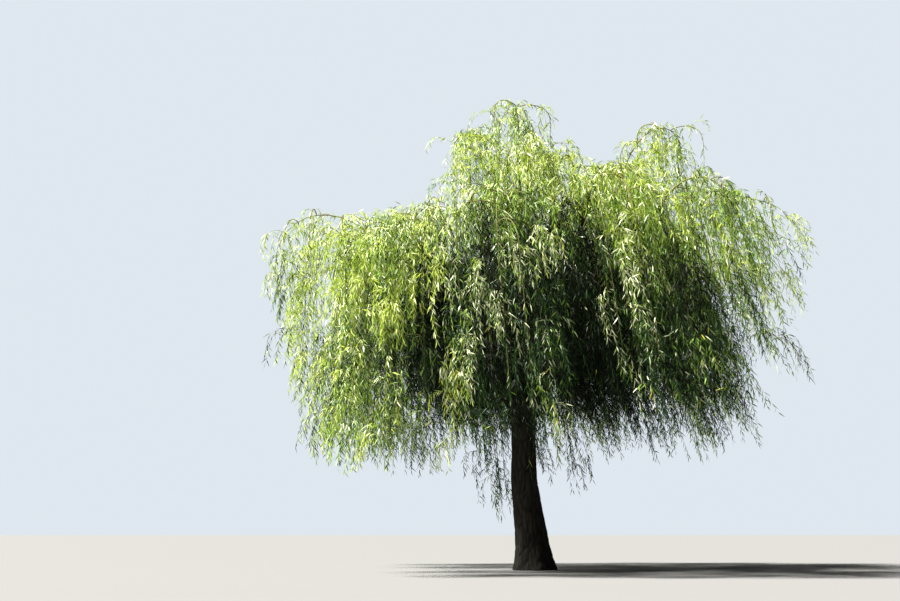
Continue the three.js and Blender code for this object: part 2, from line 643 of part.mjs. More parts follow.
function innerOf(limb, index) {
  const out = outward(limb.angle);
  const near = arms.slice(index * ARMS_FROM.length, (index + 1) * ARMS_FROM.length);
  const end = out.clone().multiplyScalar(INNER_REACH);
  return massOf(`inner_${index + 1}`, SEED.inner + index, "inner", INNER, limb.tip, [limb, ...near], out, {
    site: [INNER_SITE * out.x, INNER_SITE * out.y],
    rise: inStillAir(limb.tip).addScaledVector(out, INNER_ARCH.out).setZ(INNER_ARCH.rise),
    over: end.clone().setZ(INNER_ARCH.over),
    hang: end.clone().setZ(INNER_ARCH.hang),
    hem: INNER_HEM,
  });
}

function sprigOf({ angle, reach, hem }, index) {
  const out = outward(angle);
  const foot = vector(HEAD_X, 0, HEAD_HEIGHT - SPRIG_SEAT.under).addScaledVector(out, SPRIG_SEAT.out);
  const end = inStillAir(foot).addScaledVector(out, reach - SPRIG_SEAT.out);
  const carriers = [trunk, ...primaryLimbs];
  return massOf(`trunk_sprig_${index + 1}`, SEED.sprig + index, "inner", SPRIG, foot, carriers, out, {
    site: [end.x, end.y],
    rise: inStillAir(foot).addScaledVector(out, SPRIG_ARCH.out).setZ(foot.z + SPRIG_ARCH.rise),
    over: end.clone().setZ(foot.z + SPRIG_ARCH.over),
    hang: end.clone().setZ(foot.z - SPRIG_ARCH.hang),
    hem,
  });
}

function crestOf({ kind, site, peak, hem }, index) {
  const bough = crestBoughs[index];
  const tier = kind === SHOULDER ? "shoulder" : "crest";
  const out = vector(site[0] - bough.tip.x, site[1] - bough.tip.y, 0).normalize();
  const hang = vector(...site, peak - CREST_ARCH.hang).addScaledVector(out, CREST_ARCH.past);
  return massOf(`crest_${index + 1}`, SEED.crest + index, tier, kind, bough.tip, [bough], out, {
    site,
    rise: bough.tip.clone().lerp(hang, CREST_ARCH.out).setZ(peak + CREST_ARCH.rise),
    over: hang.clone().setZ(peak + CREST_ARCH.over),
    hang,
    hem,
  });
}

const masses = [
  ...arms.map(curtainOf),
  ...primaryLimbs.map(innerOf),
  ...SPRIGS.map(sprigOf),
  ...CRESTS.map(crestOf),
];

const willow = new THREE.Group();
willow.add(meshOf(trunk.name, trunk.solid, BARK));
for (const bough of boughs) willow.add(meshOf(bough.name, bough.solid, LIMB_BARK));
for (const mass of masses) willow.add(meshOf(mass.name, growMass(mass), FOLIAGE));

export default willow;
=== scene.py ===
"""A weeping willow in full summer leaf, 6.8 m tall and 8 m across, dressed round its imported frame.

Metres, +Z up, front at -Y, origin in the middle of the flat cut at ground level. The trunk, its
primary limbs and the boughs get bark in relief. Each mass of foliage grows on from its bough by the
rule that laid out its solid, and is then carried to finer branchlets, strands, sprays and leaves.
"""

import logging
import math
from dataclasses import dataclass, field
from enum import Enum

import bpy
import numpy as np
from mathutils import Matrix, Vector, kdtree, noise


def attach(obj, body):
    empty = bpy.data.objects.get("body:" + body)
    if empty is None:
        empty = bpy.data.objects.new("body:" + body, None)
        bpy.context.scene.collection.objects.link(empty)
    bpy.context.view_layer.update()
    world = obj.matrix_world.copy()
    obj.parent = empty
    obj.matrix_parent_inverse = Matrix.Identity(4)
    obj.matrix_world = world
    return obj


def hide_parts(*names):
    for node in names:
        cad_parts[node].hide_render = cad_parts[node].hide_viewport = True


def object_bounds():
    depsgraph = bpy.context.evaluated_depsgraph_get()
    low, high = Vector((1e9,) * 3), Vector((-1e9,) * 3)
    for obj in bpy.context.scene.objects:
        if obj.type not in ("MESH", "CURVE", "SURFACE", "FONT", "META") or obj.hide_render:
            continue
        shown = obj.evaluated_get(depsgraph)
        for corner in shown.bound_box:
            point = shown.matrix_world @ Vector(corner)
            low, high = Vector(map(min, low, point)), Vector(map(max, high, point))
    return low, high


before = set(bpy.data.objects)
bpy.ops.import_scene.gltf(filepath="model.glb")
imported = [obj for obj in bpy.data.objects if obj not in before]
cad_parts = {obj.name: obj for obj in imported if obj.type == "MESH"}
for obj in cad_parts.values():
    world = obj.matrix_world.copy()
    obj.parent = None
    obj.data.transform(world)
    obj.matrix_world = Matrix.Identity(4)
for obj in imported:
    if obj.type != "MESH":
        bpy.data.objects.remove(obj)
CAD_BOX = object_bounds()

log = logging.getLogger("willow")

UP = np.array([0.0, 0.0, 1.0])
GOLDEN_ANGLE = 137.5
GOLDEN_RATIO = 0.618034

# The trunk's head, where the limbs leave, and the crown's shoulders, which dip towards one side
HEAD_HEIGHT = 2.23
HEAD_X = -0.112
SHOULDER_HEIGHT = 5.23
SHOULDER_DIP = 0.62
SHOULDER_DIP_ANGLE = 225

# The lowest point of the crests, the highest of the curtains, and the gaps that are left
CREST_FLOOR = 4.93
CURTAIN_TOP = 5.47
SPACE_GAP = 0.016
WOOD_CLEARANCE = 0.03
FINE_CLEARANCE = 0.01

# Waves in a hanging twig, in radians for each metre, and how their start varies with their size
SWAY_WAVES = 3.7
SWAY_PHASES = 400

MOST_TRIANGLES = 190_000
CAMERA_PLACE = (-1.157, -17.9, 0.553)

Profile = tuple[tuple[float, ...], tuple[float, ...]]

# The crown's upper edge: places across it, and the height of the edge there
OUTLINE: Profile = (
    (-3.9, -3.3, -2.7, -1.9, -1.3, -1.05, -0.26, 0.3, 0.75, 1.04, 1.45, 1.9, 2.4, 3.1, 4.0),
    (4.7, 5.0, 5.25, 5.22, 5.75, 6.5, 6.82, 6.5, 6.12, 5.85, 6.25, 6.52, 6.1, 5.5, 5.15),
)


# ---------------------------------------------------------------- numbers and curves


class Use(Enum):
    """What a seeded number is drawn for."""

    ANGLE = 1
    REACH = 2
    HEIGHT = 3
    HEM = 4
    FROM = 5
    FAR = 6
    FIRST = 7


def chance(mass: int, item: int, use: Use) -> float:
    """Draws the same number from 0 to 1 each time.

    Args:
        mass: Seed of the limb or mass.
        item: Which item of it.
        use: What the number is for.

    Returns:
        A number from 0 to 1.
    """
    wave = math.sin(mass * 12.9898 + item * 78.233 + use.value * 37.719) * 43758.5453
    return wave - math.floor(wave)


def spread(mass: int, item: int, use: Use, size: float) -> float:
    """Returns a seeded number from -size to size."""
    return (2 * chance(mass, item, use) - 1) * size


def between(low: float, high: float, share: float) -> float:
    """Returns the value at a share of the way from low to high."""
    return low + (high - low) * share


def outward(angle: float) -> np.ndarray:
    """Returns the level unit vector at an angle in plan, in degrees."""
    return np.array([math.cos(math.radians(angle)), math.sin(math.radians(angle)), 0.0])


def at_height(point: np.ndarray, height: float) -> np.ndarray:
    """Returns the point moved straight up or down to a height."""
    return np.array([point[0], point[1], height])


def unit(vectors: np.ndarray) -> np.ndarray:
    """Returns vectors of length 1 in the same directions."""
    return vectors / np.maximum(np.linalg.norm(vectors, axis=-1, keepdims=True), 1e-9)


def away(points: np.ndarray) -> np.ndarray:
    """Returns the level unit directions from the tree's middle to points."""
    return unit(points * (1, 1, 0))


def rising(values: np.ndarray, start: float, width: float) -> np.ndarray:
    """Returns shares that rise from 0 at the start to 1 one width above it."""
    return np.clip((values - start) / width, 0, 1)


def falling(values: np.ndarray, start: float, width: float) -> np.ndarray:
    """Returns shares that rise from 0 at the start to 1 one width below it."""
    return np.clip((start - values) / width, 0, 1)


def shoulder_at(angle: float) -> float:
    """Returns the height of the crown's shoulders at an angle in plan."""
    towards_dip = max(0.0, math.cos(math.radians(angle - SHOULDER_DIP_ANGLE)))
    return SHOULDER_HEIGHT - SHOULDER_DIP * towards_dip**2


@dataclass(frozen=True)
class Wind:
    """A breeze towards +X that leans whatever hangs below a height.

    Attributes:
        height: The height.
        mid: Lean in the tree's middle, for each metre below the height.
        rise: How much more it leans for each metre to the right.
        fine: Further lean of the finer twigs.
        gust: Lean that a gust adds to them, where it is strongest, and its half width.
        right: Lean that the right edge adds, and where it starts.
        left: Lean the other way that the left edge adds, and where it starts.
        stray: How far the lean of single twigs strays across and in depth.
    """

    height: float = 4.8
    mid: float = 0.1
    rise: float = 0.045
    fine: float = 0.02
    gust: tuple[float, float, float] = (0.2, 0.8, 1.2)
    right: tuple[float, float] = (0.2, 1.8)
    left: tuple[float, float] = (0.24, 1.5)
    stray: tuple[float, float] = (0.06, 0.05)

    def carry(self, points: np.ndarray) -> np.ndarray:
        """Moves points that hang in still air to where the breeze takes them.

        Args:
            points: One point or rows of points.

        Returns:
            The moved points.
        """
        moved = np.array(points, float)
        drop = np.maximum(0.0, self.height - moved[..., 2])
        moved[..., 0] += (self.mid + self.rise * moved[..., 0]) * drop
        return moved

    def still(self, points: np.ndarray) -> np.ndarray:
        """Moves points back to where they would hang in still air.

        Args:
            points: One point or rows of points.

        Returns:
            The moved points.
        """
        moved = np.array(points, float)
        drop = np.maximum(0.0, self.height - moved[..., 2])
        moved[..., 0] = (moved[..., 0] - self.mid * drop) / (1 + self.rise * drop)
        return moved

    def bend_fine(self, x: float, rng: np.random.Generator) -> np.ndarray:
        """Tells how a fine twig's lower end is blown aside, for each metre of its drop.

        Args:
            x: Its place across the crown.
            rng: Source of its stray.

        Returns:
            A level vector.
        """
        strongest, place, width = self.gust
        lean = self.fine + strongest * math.exp(-((x - place) / width) ** 2)
        lean += (self.right[0] * min(1.0, max(0.0, x - self.right[1]))
                 - self.left[0] * min(1.0, max(0.0, -x - self.left[1])))
        return np.array([lean + rng.normal(0, self.stray[0]), rng.normal(0, self.stray[1]), 0.0])


WIND = Wind()


@dataclass(frozen=True)
class Arch:
    """A cubic curve from its foot past a low and a high turn to its tip."""

    points: np.ndarray

    def at(self, shares: np.ndarray | float) -> np.ndarray:
        """Returns the points of the curve at shares of it."""
        t = np.asarray(shares, float)[..., None]
        a, b, c, d = self.points
        return (1 - t) ** 3 * a + 3 * (1 - t) ** 2 * t * b + 3 * (1 - t) * t**2 * c + t**3 * d

    def along(self, shares: np.ndarray | float) -> np.ndarray:
        """Returns the unit directions of the curve at shares of it."""
        t = np.asarray(shares, float)[..., None]
        a, b, c, d = self.points
        return unit((1 - t) ** 2 * (b - a) + 2 * (1 - t) * t * (c - b) + t**2 * (d - c))

    def length(self) -> float:
        """Returns the length of the curve."""
        steps = np.diff(self.at(np.linspace(0, 1, 201)), axis=0)
        return float(np.linalg.norm(steps, axis=1).sum())


@dataclass
class Twig:
    """A twig that arches out and then hangs, moved by the breeze.

    Attributes:
        arch: Its arch in still air.
        drop: How far it hangs straight down from the arch's end.
        level: The level direction square to the plane that it arches in.
        radii: Its radii at foot and tip.
        bend: How far its lower end is blown aside, for each metre of drop.
        sway: Size of the gentle wave in its drop.
        tone: Where its leaves come in the row of colours, from 0, the palest, to 1, the darkest; the pale end
            paints light and the dark end paints shade.
        leaf_size: Size of its leaves against full ones.
        turn: The share of it that is arch.
        length: Its length from foot to tip.
    """

    arch: Arch
    drop: float
    level: np.ndarray
    radii: tuple[float, float]
    bend: np.ndarray = field(default_factory=lambda: np.zeros(3))
    sway: float = 0.0
    tone: float = 0.5
    leaf_size: float = 1.0
    turn: float = field(init=False)
    length: float = field(init=False)

    def __post_init__(self) -> None:
        """Works out how long the twig is and how much of it is arch."""
        self.length = self.arch.length() + self.drop
        self.turn = (self.length - self.drop) / self.length

    def at(self, shares: np.ndarray | float) -> np.ndarray:
        """Returns the points of the twig at shares of it.

        Args:
            shares: One share or several, from 0 at the foot to 1 at the tip.

        Returns:
            A point for each share.
        """
        shares = np.asarray(shares, float)
        points = self.arch.at(np.minimum(shares / self.turn, 1))
        fallen = self.drop * np.maximum(0, shares - self.turn) / max(1e-6, 1 - self.turn)
        points[..., 2] -= fallen
        points = WIND.carry(points)
        if self.sway:
            phase = self.sway * SWAY_PHASES
            wave = np.sin(fallen * SWAY_WAVES + phase) - np.sin(phase)
            points += (self.bend * (fallen**1.5)[..., None]) + self.level * (self.sway * wave)[..., None]
        return points


# ---------------------------------------------------------------- wood


@dataclass(frozen=True)
class Bough:
    """A tapering limb along one curve.

    Attributes:
        name: Its node's name.
        curve: Its middle line.
        radii: Its radii at foot and tip.
        angle: Which way it heads in plan, in degrees.
    """

    name: str
    curve: Arch
    radii: tuple[float, float]
    angle: float = 0.0

    def radius_at(self, shares: np.ndarray | float) -> np.ndarray:
        """Returns the radii at shares of the limb."""
        return self.radii[0] + (self.radii[1] - self.radii[0]) * np.asarray(shares, float) ** 0.8

    def level(self) -> np.ndarray:
        """Returns the level direction square to the plane that the limb rises in."""
        return unit(np.cross(self.curve.points[3] - self.curve.points[0], UP))

    @property
    def tip(self) -> np.ndarray:
        """The end of its middle line."""
        return self.curve.points[3]


@dataclass(frozen=True)
class TrunkShape:
    """The trunk's taper, lean and root flare.

    Attributes:
        profile: Height, radius there, and how far the middle has leaned to the left.
        height: Height of the trunk.
        flare_depth: How far the buttresses of the root flare stand out.
        flare_top: Height at which they have faded out.
    """

    profile: tuple[tuple[float, float, float], ...] = (
        (0.0, 0.292, 0.0), (0.12, 0.262, 0.004), (0.32, 0.238, 0.010), (0.5, 0.228, 0.016),
        (0.65, 0.218, 0.034), (0.96, 0.202, 0.074), (1.25, 0.186, 0.108), (1.66, 0.173, 0.106),
        (2.05, 0.174, 0.110), (2.26, 0.186, 0.112), (2.4, 0.160, 0.112), (2.48, 0.100, 0.112),
    )
    height: float = 2.48
    flare_depth: float = 0.062
    flare_top: float = 0.62

    def radius(self, heights: np.ndarray | float) -> np.ndarray:
        """Returns the radii without the flare at heights above ground."""
        rows = np.array(self.profile)
        return np.interp(heights, rows[:, 0], rows[:, 1])

    def lean(self, heights: np.ndarray | float) -> np.ndarray:
        """Returns how far the middle has leaned to the left at heights above ground."""
        rows = np.array(self.profile)
        return np.interp(heights, rows[:, 0], rows[:, 2])

    def flare(self, heights: np.ndarray | float, angles: np.ndarray | float) -> np.ndarray:
        """Returns how far the buttresses stand out at heights and angles round the trunk."""
        fade = np.maximum(0, 1 - np.asarray(heights, float) / self.flare_top) ** 1.6
        return self.flare_depth * fade * (0.35 + 0.45 * np.cos(5 * angles) + 0.4 * np.cos(angles))


@dataclass(frozen=True)
class CrestSite:
    """Where a crest or shoulder stands.

    Attributes:
        kind: Name of its kind.
        leaves: Share of the leader that its bough leaves from.
        site: Its place in plan.
        peak: The top of its arch.
        hem: How low its shoots hang.
    """

    kind: str
    leaves: float
    site: tuple[float, float]
    peak: float
    hem: float


CREST_SITES = (
    CrestSite("crest", 1.0, (-0.72, 0.10), 6.48, 5.06),
    CrestSite("crest", 0.93, (-0.16, -0.24), 6.80, 5.25),
    CrestSite("crest", 0.89, (0.60, 0.33), 6.24, 5.20),
    CrestSite("hump", 0.85, (2.12, -0.08), 6.53, 5.05),
    CrestSite("shoulder", 0.8, (1.78, 1.08), 6.05, 3.60),
    CrestSite("shoulder", 0.75, (1.06, -1.64), 5.45, 3.30),
    CrestSite("shoulder", 0.7, (-0.08, -1.66), 5.78, 3.10),
    CrestSite("shoulder", 0.65, (-1.54, -0.96), 5.12, 3.20),
    CrestSite("shoulder", 0.6, (-1.56, 0.96), 5.45, 3.30),
    CrestSite("shoulder", 0.55, (-0.14, 1.68), 5.95, 3.30),
    CrestSite("shoulder", 0.5, (1.03, 1.62), 5.90, 3.50),
)


@dataclass
class Skeleton:
    """The trunk's and the boughs' middle lines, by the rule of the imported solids.

    Attributes:
        trunk: The trunk's shape.
        limbs: The primary limbs.
        leader: The central leader.
        arms: Three arms for each primary limb.
        crest_boughs: One bough for each crest site.
        wood: Rows of x, y, z and radius down the middle of all the wood.
        limb_radii: Radii of a primary limb at foot and tip. The others are given the same way.
        limb_reach: How far from the middle a primary limb ends in plan.
        limb_top: Height of its end.
        leader_tip: The end of the leader.
        arm_reach: How far from the middle an arm ends in plan.
        arm_under: How far its end stays under the crown's shoulder.
        crest_share: Share of the way from leader to crest that a crest bough reaches in plan.
        crest_height: Share of the crest's height that it reaches.
    """

    trunk: TrunkShape = field(default_factory=TrunkShape)
    limbs: list[Bough] = field(default_factory=list)
    leader: Bough | None = None
    arms: list[Bough] = field(default_factory=list)
    crest_boughs: list[Bough] = field(default_factory=list)
    wood: np.ndarray | None = None
    limb_radii: tuple[float, float] = (0.098, 0.062)
    leader_radii: tuple[float, float] = (0.084, 0.05)
    arm_radii: tuple[float, float] = (0.043, 0.021)
    crest_radii: tuple[float, float] = (0.038, 0.017)
    limb_reach: float = 0.83
    limb_top: float = 3.56
    leader_tip: tuple[float, float, float] = (-0.06, 0.04, 3.95)
    arm_reach: float = 2.23
    arm_under: float = 0.47
    crest_share: float = 0.62
    crest_height: float = 0.81

    def grow(self) -> None:
        """Lays out every limb in order and the points that foliage keeps clear of."""
        self.limbs = [self._primary_limb(i) for i in range(4)]
        foot = np.array([HEAD_X, 0.0, HEAD_HEIGHT - 0.02])
        tip = np.array(self.leader_tip)
        turns = [foot, foot + (-0.05, -0.03, 0.62), tip + (-0.07, 0.03, -0.6), tip]
        self.leader = Bough("central_leader", Arch(np.array(turns)), self.leader_radii)
        self.arms = [self._arm(i) for i in range(12)]
        self.crest_boughs = [self._crest_bough(i) for i in range(len(CREST_SITES))]
        self.wood = self._wood_points()

    def boughs(self) -> list[Bough]:
        """Returns every limb but the trunk."""
        return [*self.limbs, self.leader, *self.arms, *self.crest_boughs]

    def _primary_limb(self, index: int) -> Bough:
        """Returns a primary limb that leaves the trunk's head."""
        seed = 50 + index
        angle = 45 + 90 * index + spread(seed, 0, Use.ANGLE, 7)
        out = outward(angle)
        foot = np.array([HEAD_X, 0.0, HEAD_HEIGHT - 0.06])
        reach = self.limb_reach + spread(seed, 0, Use.REACH, 0.06)
        tip = at_height(out * reach, self.limb_top + spread(seed, 0, Use.HEIGHT, 0.11))
        low = at_height(foot + out * reach * 0.42, HEAD_HEIGHT + 0.33)
        high = at_height(tip - out * reach * 0.2, tip[2] - 0.48)
        curve = Arch(np.array([foot, low, high, tip]))
        return Bough(f"primary_limb_{index + 1}", curve, self.limb_radii, angle)

    def _arm(self, index: int) -> Bough:
        """Returns an arm that runs from a primary limb to the crown's shoulder."""
        seed = 60 + index
        angle = 15 + 30 * index + spread(seed, 0, Use.ANGLE, 4)
        foot = self.limbs[index // 3].curve.at((0.8, 0.97, 0.88)[index % 3])
        reach = self.arm_reach + spread(seed, 0, Use.REACH, 0.09)
        tip = at_height(outward(angle) * reach, shoulder_at(angle) - self.arm_under)
        low = at_height(foot + (tip - foot) * 0.3, between(foot[2], tip[2], 0.56))
        high = at_height(foot + (tip - foot) * 0.72, tip[2] + 0.04)
        return Bough(f"arm_{index + 1}", Arch(np.array([foot, low, high, tip])), self.arm_radii, angle)

    def _crest_bough(self, index: int) -> Bough:
        """Returns a bough that climbs from the leader towards a crest."""
        place, middle = CREST_SITES[index], self.leader.tip
        foot = self.leader.curve.at(place.leaves)
        site = np.array([*place.site, 0.0])
        tip = at_height(middle + (site - middle) * self.crest_share, place.peak * self.crest_height)
        low = at_height(foot + (tip - foot) * 0.34, between(foot[2], tip[2], 0.5))
        high = at_height(foot + (tip - foot) * 0.78, tip[2] - 0.23)
        return Bough(f"crest_bough_{index + 1}", Arch(np.array([foot, low, high, tip])), self.crest_radii)

    def _wood_points(self) -> np.ndarray:
        """Returns rows of x, y, z and radius down the middle of all the wood."""
        shares = np.linspace(0, 1, 25)
        rows = [np.column_stack([b.curve.at(shares), b.radius_at(shares)]) for b in self.boughs()]
        heights = shares * self.trunk.height
        radii = self.trunk.radius(heights) + self.trunk.flare(heights, 0.0)
        rows.append(np.column_stack([-self.trunk.lean(heights), heights * 0, heights, radii]))
        return np.concatenate(rows)

    def is_clear(self, points: np.ndarray, radius: float, clearance: float = WOOD_CLEARANCE) -> bool:
        """Tells whether points keep clear of all the wood.

        Args:
            points: Rows of points.
            radius: Radius of what runs along them.
            clearance: The gap that is left.

        Returns:
            True if none comes too near.
        """
        apart = np.linalg.norm(points[:, None, :] - self.wood[None, :, :3], axis=2)
        return bool(np.all(apart > self.wood[:, 3] + radius + clearance))


# ---------------------------------------------------------------- finishes


def new_material(name: str) -> tuple[bpy.types.Material, bpy.types.NodeTree]:
    """Makes an empty node material.

    Args:
        name: Name of the material.

    Returns:
        The material and its node tree.
    """
    made = bpy.data.materials.new(name)
    made.use_nodes = True
    made.node_tree.nodes.clear()
    return made, made.node_tree


def add_node(tree: bpy.types.NodeTree, kind: str, **values: object) -> bpy.types.Node:
    """Adds a node and sets its values.

    Args:
        tree: The tree that it goes in.
        kind: Blender's name for the kind of node.
        **values: Properties, or input sockets where a name isn't a property. An underscore stands
            for a space in a socket's name.

    Returns:
        The node.
    """
    node = tree.nodes.new(kind)
    for name, value in values.items():
        if hasattr(node, name):
            setattr(node, name, value)
        else:
            node.inputs[name.replace("_", " ")].default_value = value
    return node


NodeLink = tuple[bpy.types.Node, str | int, bpy.types.Node, str | int]


def connect(tree: bpy.types.NodeTree, *links: NodeLink) -> None:
    """Links outputs of nodes to inputs of others.

    Args:
        tree: The tree that they are in.
        *links: For each link, a node and its output, and the node and the input that it goes to.
    """
    for source, given, target, taken in links:
        tree.links.new(source.outputs[given], target.inputs[taken])


def rgba(colour: tuple[float, float, float]) -> tuple[float, float, float, float]:
    """Returns an sRGB colour of 0 to 255 as the linear one that a socket takes."""
    linear = [((c / 255 + 0.055) / 1.055) ** 2.4 if c > 10 else c / 255 / 12.92 for c in colour]
    return (*linear, 1.0)


class NodeGroups:
    """The shader node groups that more than one finish uses, each made once."""

    @staticmethod
    def _group(name: str, inputs: dict[str, object], outputs: tuple[str, ...]) -> bpy.types.NodeTree:
        """Makes a node group with its sockets.

        Args:
            name: Name of the group.
            inputs: Default value of each input, a colour or a number.
            outputs: The outputs: Color is a colour, and the others are numbers.

        Returns:
            The group's node tree.
        """
        tree = bpy.data.node_groups.new(name, "ShaderNodeTree")
        for label, value in inputs.items():
            kind = "NodeSocketColor" if isinstance(value, tuple) else "NodeSocketFloat"
            tree.interface.new_socket(label, in_out="INPUT", socket_type=kind).default_value = value
        for label in outputs:
            kind = "NodeSocketColor" if label == "Color" else "NodeSocketFloat"
            tree.interface.new_socket(label, in_out="OUTPUT", socket_type=kind)
        return tree

    @classmethod
    def leaf_tone(cls) -> bpy.types.NodeTree:
        """Returns the group that varies a leaf colour from leaf to leaf and along each blade."""
        known = bpy.data.node_groups.get("leaf_tone")
        if known:
            return known
        inputs = {"Blade": (0.1, 0.2, 0.02, 1.0), "Deep": (0.03, 0.08, 0.01, 1.0), "Grain": 30.0}
        tree = cls._group("leaf_tone", inputs, ("Color", "Roughness"))
        given = add_node(tree, "NodeGroupInput")
        put = add_node(tree, "NodeGroupOutput")
        place = add_node(tree, "ShaderNodeTexCoord")
        fine = add_node(tree, "ShaderNodeTexNoise", Detail=1.0, Roughness=0.6)
        broad = add_node(tree, "ShaderNodeTexNoise", Scale=1.7, Detail=1.0)
        mixed = add_node(tree, "ShaderNodeMath", operation="MULTIPLY_ADD")
        mixed.inputs[1].default_value = 0.6
        share = add_node(tree, "ShaderNodeMapRange", From_Min=0.5, From_Max=0.95)
        blend = add_node(tree, "ShaderNodeMix", data_type="RGBA")
        rough = add_node(tree, "ShaderNodeMapRange", To_Min=0.36, To_Max=0.62)
        connect(tree, (place, "Object", fine, "Vector"), (place, "Object", broad, "Vector"),
                (given, "Grain", fine, "Scale"), (fine, "Fac", mixed, 0), (broad, "Fac", mixed, 2),
                (mixed, 0, share, "Value"), (share, 0, blend, 0), (given, "Deep", blend, 6),
                (given, "Blade", blend, 7), (blend, 2, put, "Color"), (fine, "Fac", rough, "Value"),
                (rough, 0, put, "Roughness"))
        return tree

    @classmethod
    def bark_grain(cls) -> bpy.types.NodeTree:
        """Returns the group for the colour and fine grain of bark, stretched along +Z."""
        known = bpy.data.node_groups.get("bark_grain")
        if known:
            return known
        inputs = {"Ridge": (0.05, 0.04, 0.03, 1.0), "Furrow": (0.01, 0.01, 0.01, 1.0), "Depth": 0.0,
                  "Grain": 22.0}
        tree = cls._group("bark_grain", inputs, ("Color", "Roughness", "Height"))
        given = add_node(tree, "NodeGroupInput")
        put = add_node(tree, "NodeGroupOutput")
        place = add_node(tree, "ShaderNodeTexCoord")
        stretch = add_node(tree, "ShaderNodeMapping", Scale=(1.0, 1.0, 0.22))
        grain = add_node(tree, "ShaderNodeTexNoise", Detail=6.0, Roughness=0.62)
        patches = add_node(tree, "ShaderNodeTexNoise", Scale=3.1, Detail=3.0)
        low = add_node(tree, "ShaderNodeMath", operation="MULTIPLY_ADD")
        low.inputs[1].default_value = -1.0
        high = add_node(tree, "ShaderNodeMapRange", From_Min=-0.35, From_Max=0.75)
        blend = add_node(tree, "ShaderNodeMix", data_type="RGBA")
        tint = add_node(tree, "ShaderNodeMix", data_type="RGBA", blend_type="MULTIPLY")
        tint.inputs[0].default_value = 0.5
        tints = add_node(tree, "ShaderNodeMapRange", From_Min=0.3, From_Max=0.7, To_Min=0.45, To_Max=1.3)
        rough = add_node(tree, "ShaderNodeMapRange", To_Min=0.78, To_Max=0.96)
        connect(tree, (place, "Object", stretch, "Vector"), (stretch, 0, grain, "Vector"),
                (place, "Object", patches, "Vector"), (given, "Grain", grain, "Scale"),
                (given, "Depth", low, 0), (grain, "Fac", low, 2), (low, 0, high, "Value"),
                (high, 0, blend, 0), (given, "Furrow", blend, 6), (given, "Ridge", blend, 7),
                (blend, 2, tint, 6), (patches, "Fac", tints, "Value"), (tints, 0, tint, 7),
                (tint, 2, put, "Color"), (grain, "Fac", rough, "Value"), (rough, 0, put, "Roughness"),
                (grain, "Fac", put, "Height"))
        return tree


@dataclass(frozen=True)
class BarkFinish:
    """Bark of one age.

    Attributes:
        name: Name of the material.
        ridge: Colour on the ridges, sRGB.
        furrow: Colour down in the furrows.
        grain: How fine the grain is.
        bump: Height of the grain in metres.
        attribute: The mesh attribute that holds how deep a place lies, or nothing.
    """

    name: str
    ridge: tuple[float, float, float]
    furrow: tuple[float, float, float]
    grain: float = 22.0
    bump: float = 0.004
    attribute: str = ""

    def material(self) -> bpy.types.Material:
        """Returns the material of this bark."""
        made, tree = new_material(self.name)
        group = add_node(tree, "ShaderNodeGroup", node_tree=NodeGroups.bark_grain(),
                         Ridge=rgba(self.ridge), Furrow=rgba(self.furrow), Grain=self.grain)
        bump = add_node(tree, "ShaderNodeBump", Strength=0.8, Distance=self.bump)
        surface = add_node(tree, "ShaderNodeBsdfPrincipled", Specular_IOR_Level=0.25)
        put = add_node(tree, "ShaderNodeOutputMaterial")
        if self.attribute:
            depth = add_node(tree, "ShaderNodeAttribute", attribute_name=self.attribute)
            connect(tree, (depth, "Fac", group, "Depth"))
        connect(tree, (group, "Color", surface, "Base Color"), (group, "Roughness", surface, "Roughness"),
                (group, "Height", bump, "Height"), (bump, 0, surface, "Normal"), (surface, 0, put, "Surface"))
        return made


@dataclass(frozen=True)
class LeafFinish:
    """Leaves of one colour, which let some of the light through.

    Attributes:
        name: Name of the material.
        blade: Colour of the lighter leaves, sRGB.
        deep: Colour of the darker ones.
        glow: Colour of the light that comes through.
        through: Share of the light that does.
        gloss: Specular level of the blade.
    """

    name: str
    blade: tuple[float, float, float]
    deep: tuple[float, float, float]
    glow: tuple[float, float, float]
    through: float = 0.3
    gloss: float = 0.45

    def material(self) -> bpy.types.Material:
        """Returns the material of these leaves."""
        made, tree = new_material(self.name)
        group = add_node(tree, "ShaderNodeGroup", node_tree=NodeGroups.leaf_tone(),
                         Blade=rgba(self.blade), Deep=rgba(self.deep))
        surface = add_node(tree, "ShaderNodeBsdfPrincipled", Specular_IOR_Level=self.gloss)
        through = add_node(tree, "ShaderNodeBsdfTranslucent", Color=rgba(self.glow))
        mixed = add_node(tree, "ShaderNodeMixShader", Fac=self.through)
        put = add_node(tree, "ShaderNodeOutputMaterial")
        connect(tree, (group, "Color", surface, "Base Color"), (group, "Roughness", surface, "Roughness"),
                (surface, 0, mixed, 1), (through, 0, mixed, 2), (mixed, 0, put, "Surface"))
        return made


class Spray(Enum):
    """The colours of leaf that are dealt out by spray, from the palest to the darkest. They paint light and
    shade: a painted glow, painted sunlight, silver undersides with painted glints, a plain green, painted
    half shade and painted shade.
    """

    # Painted glow: a golden colour for leaves at the hem that light shines through.
    PAINTED_GLOW = LeafFinish("leaf_painted_glow", (212, 212, 84), (166, 168, 50), (226, 220, 60), 0.36)
    SUNLIT = LeafFinish("leaf_sunlit", (190, 206, 104), (132, 158, 50), (192, 218, 62), 0.33)
    # The willow's silvery undersides, dealt out more where the light falls as painted glints.
    SILVER_AND_GLINT = LeafFinish("leaf_silver_and_glint", (210, 216, 176), (162, 174, 126), (184, 200, 116), 0.2, 0.6)
    FRESH = LeafFinish("leaf_fresh", (122, 156, 56), (66, 100, 26), (130, 172, 36), 0.28)
    # Painted half shade: a dark green among the leaves.
    DEEP = LeafFinish("leaf_half_shade", (44, 78, 28), (19, 38, 11), (54, 96, 20), 0.18, 0.35)
    SHADED = LeafFinish("leaf_shaded", (15, 29, 10), (6, 12, 4), (16, 34, 8), 0.1, 0.12)


# ---------------------------------------------------------------- meshes from arrays


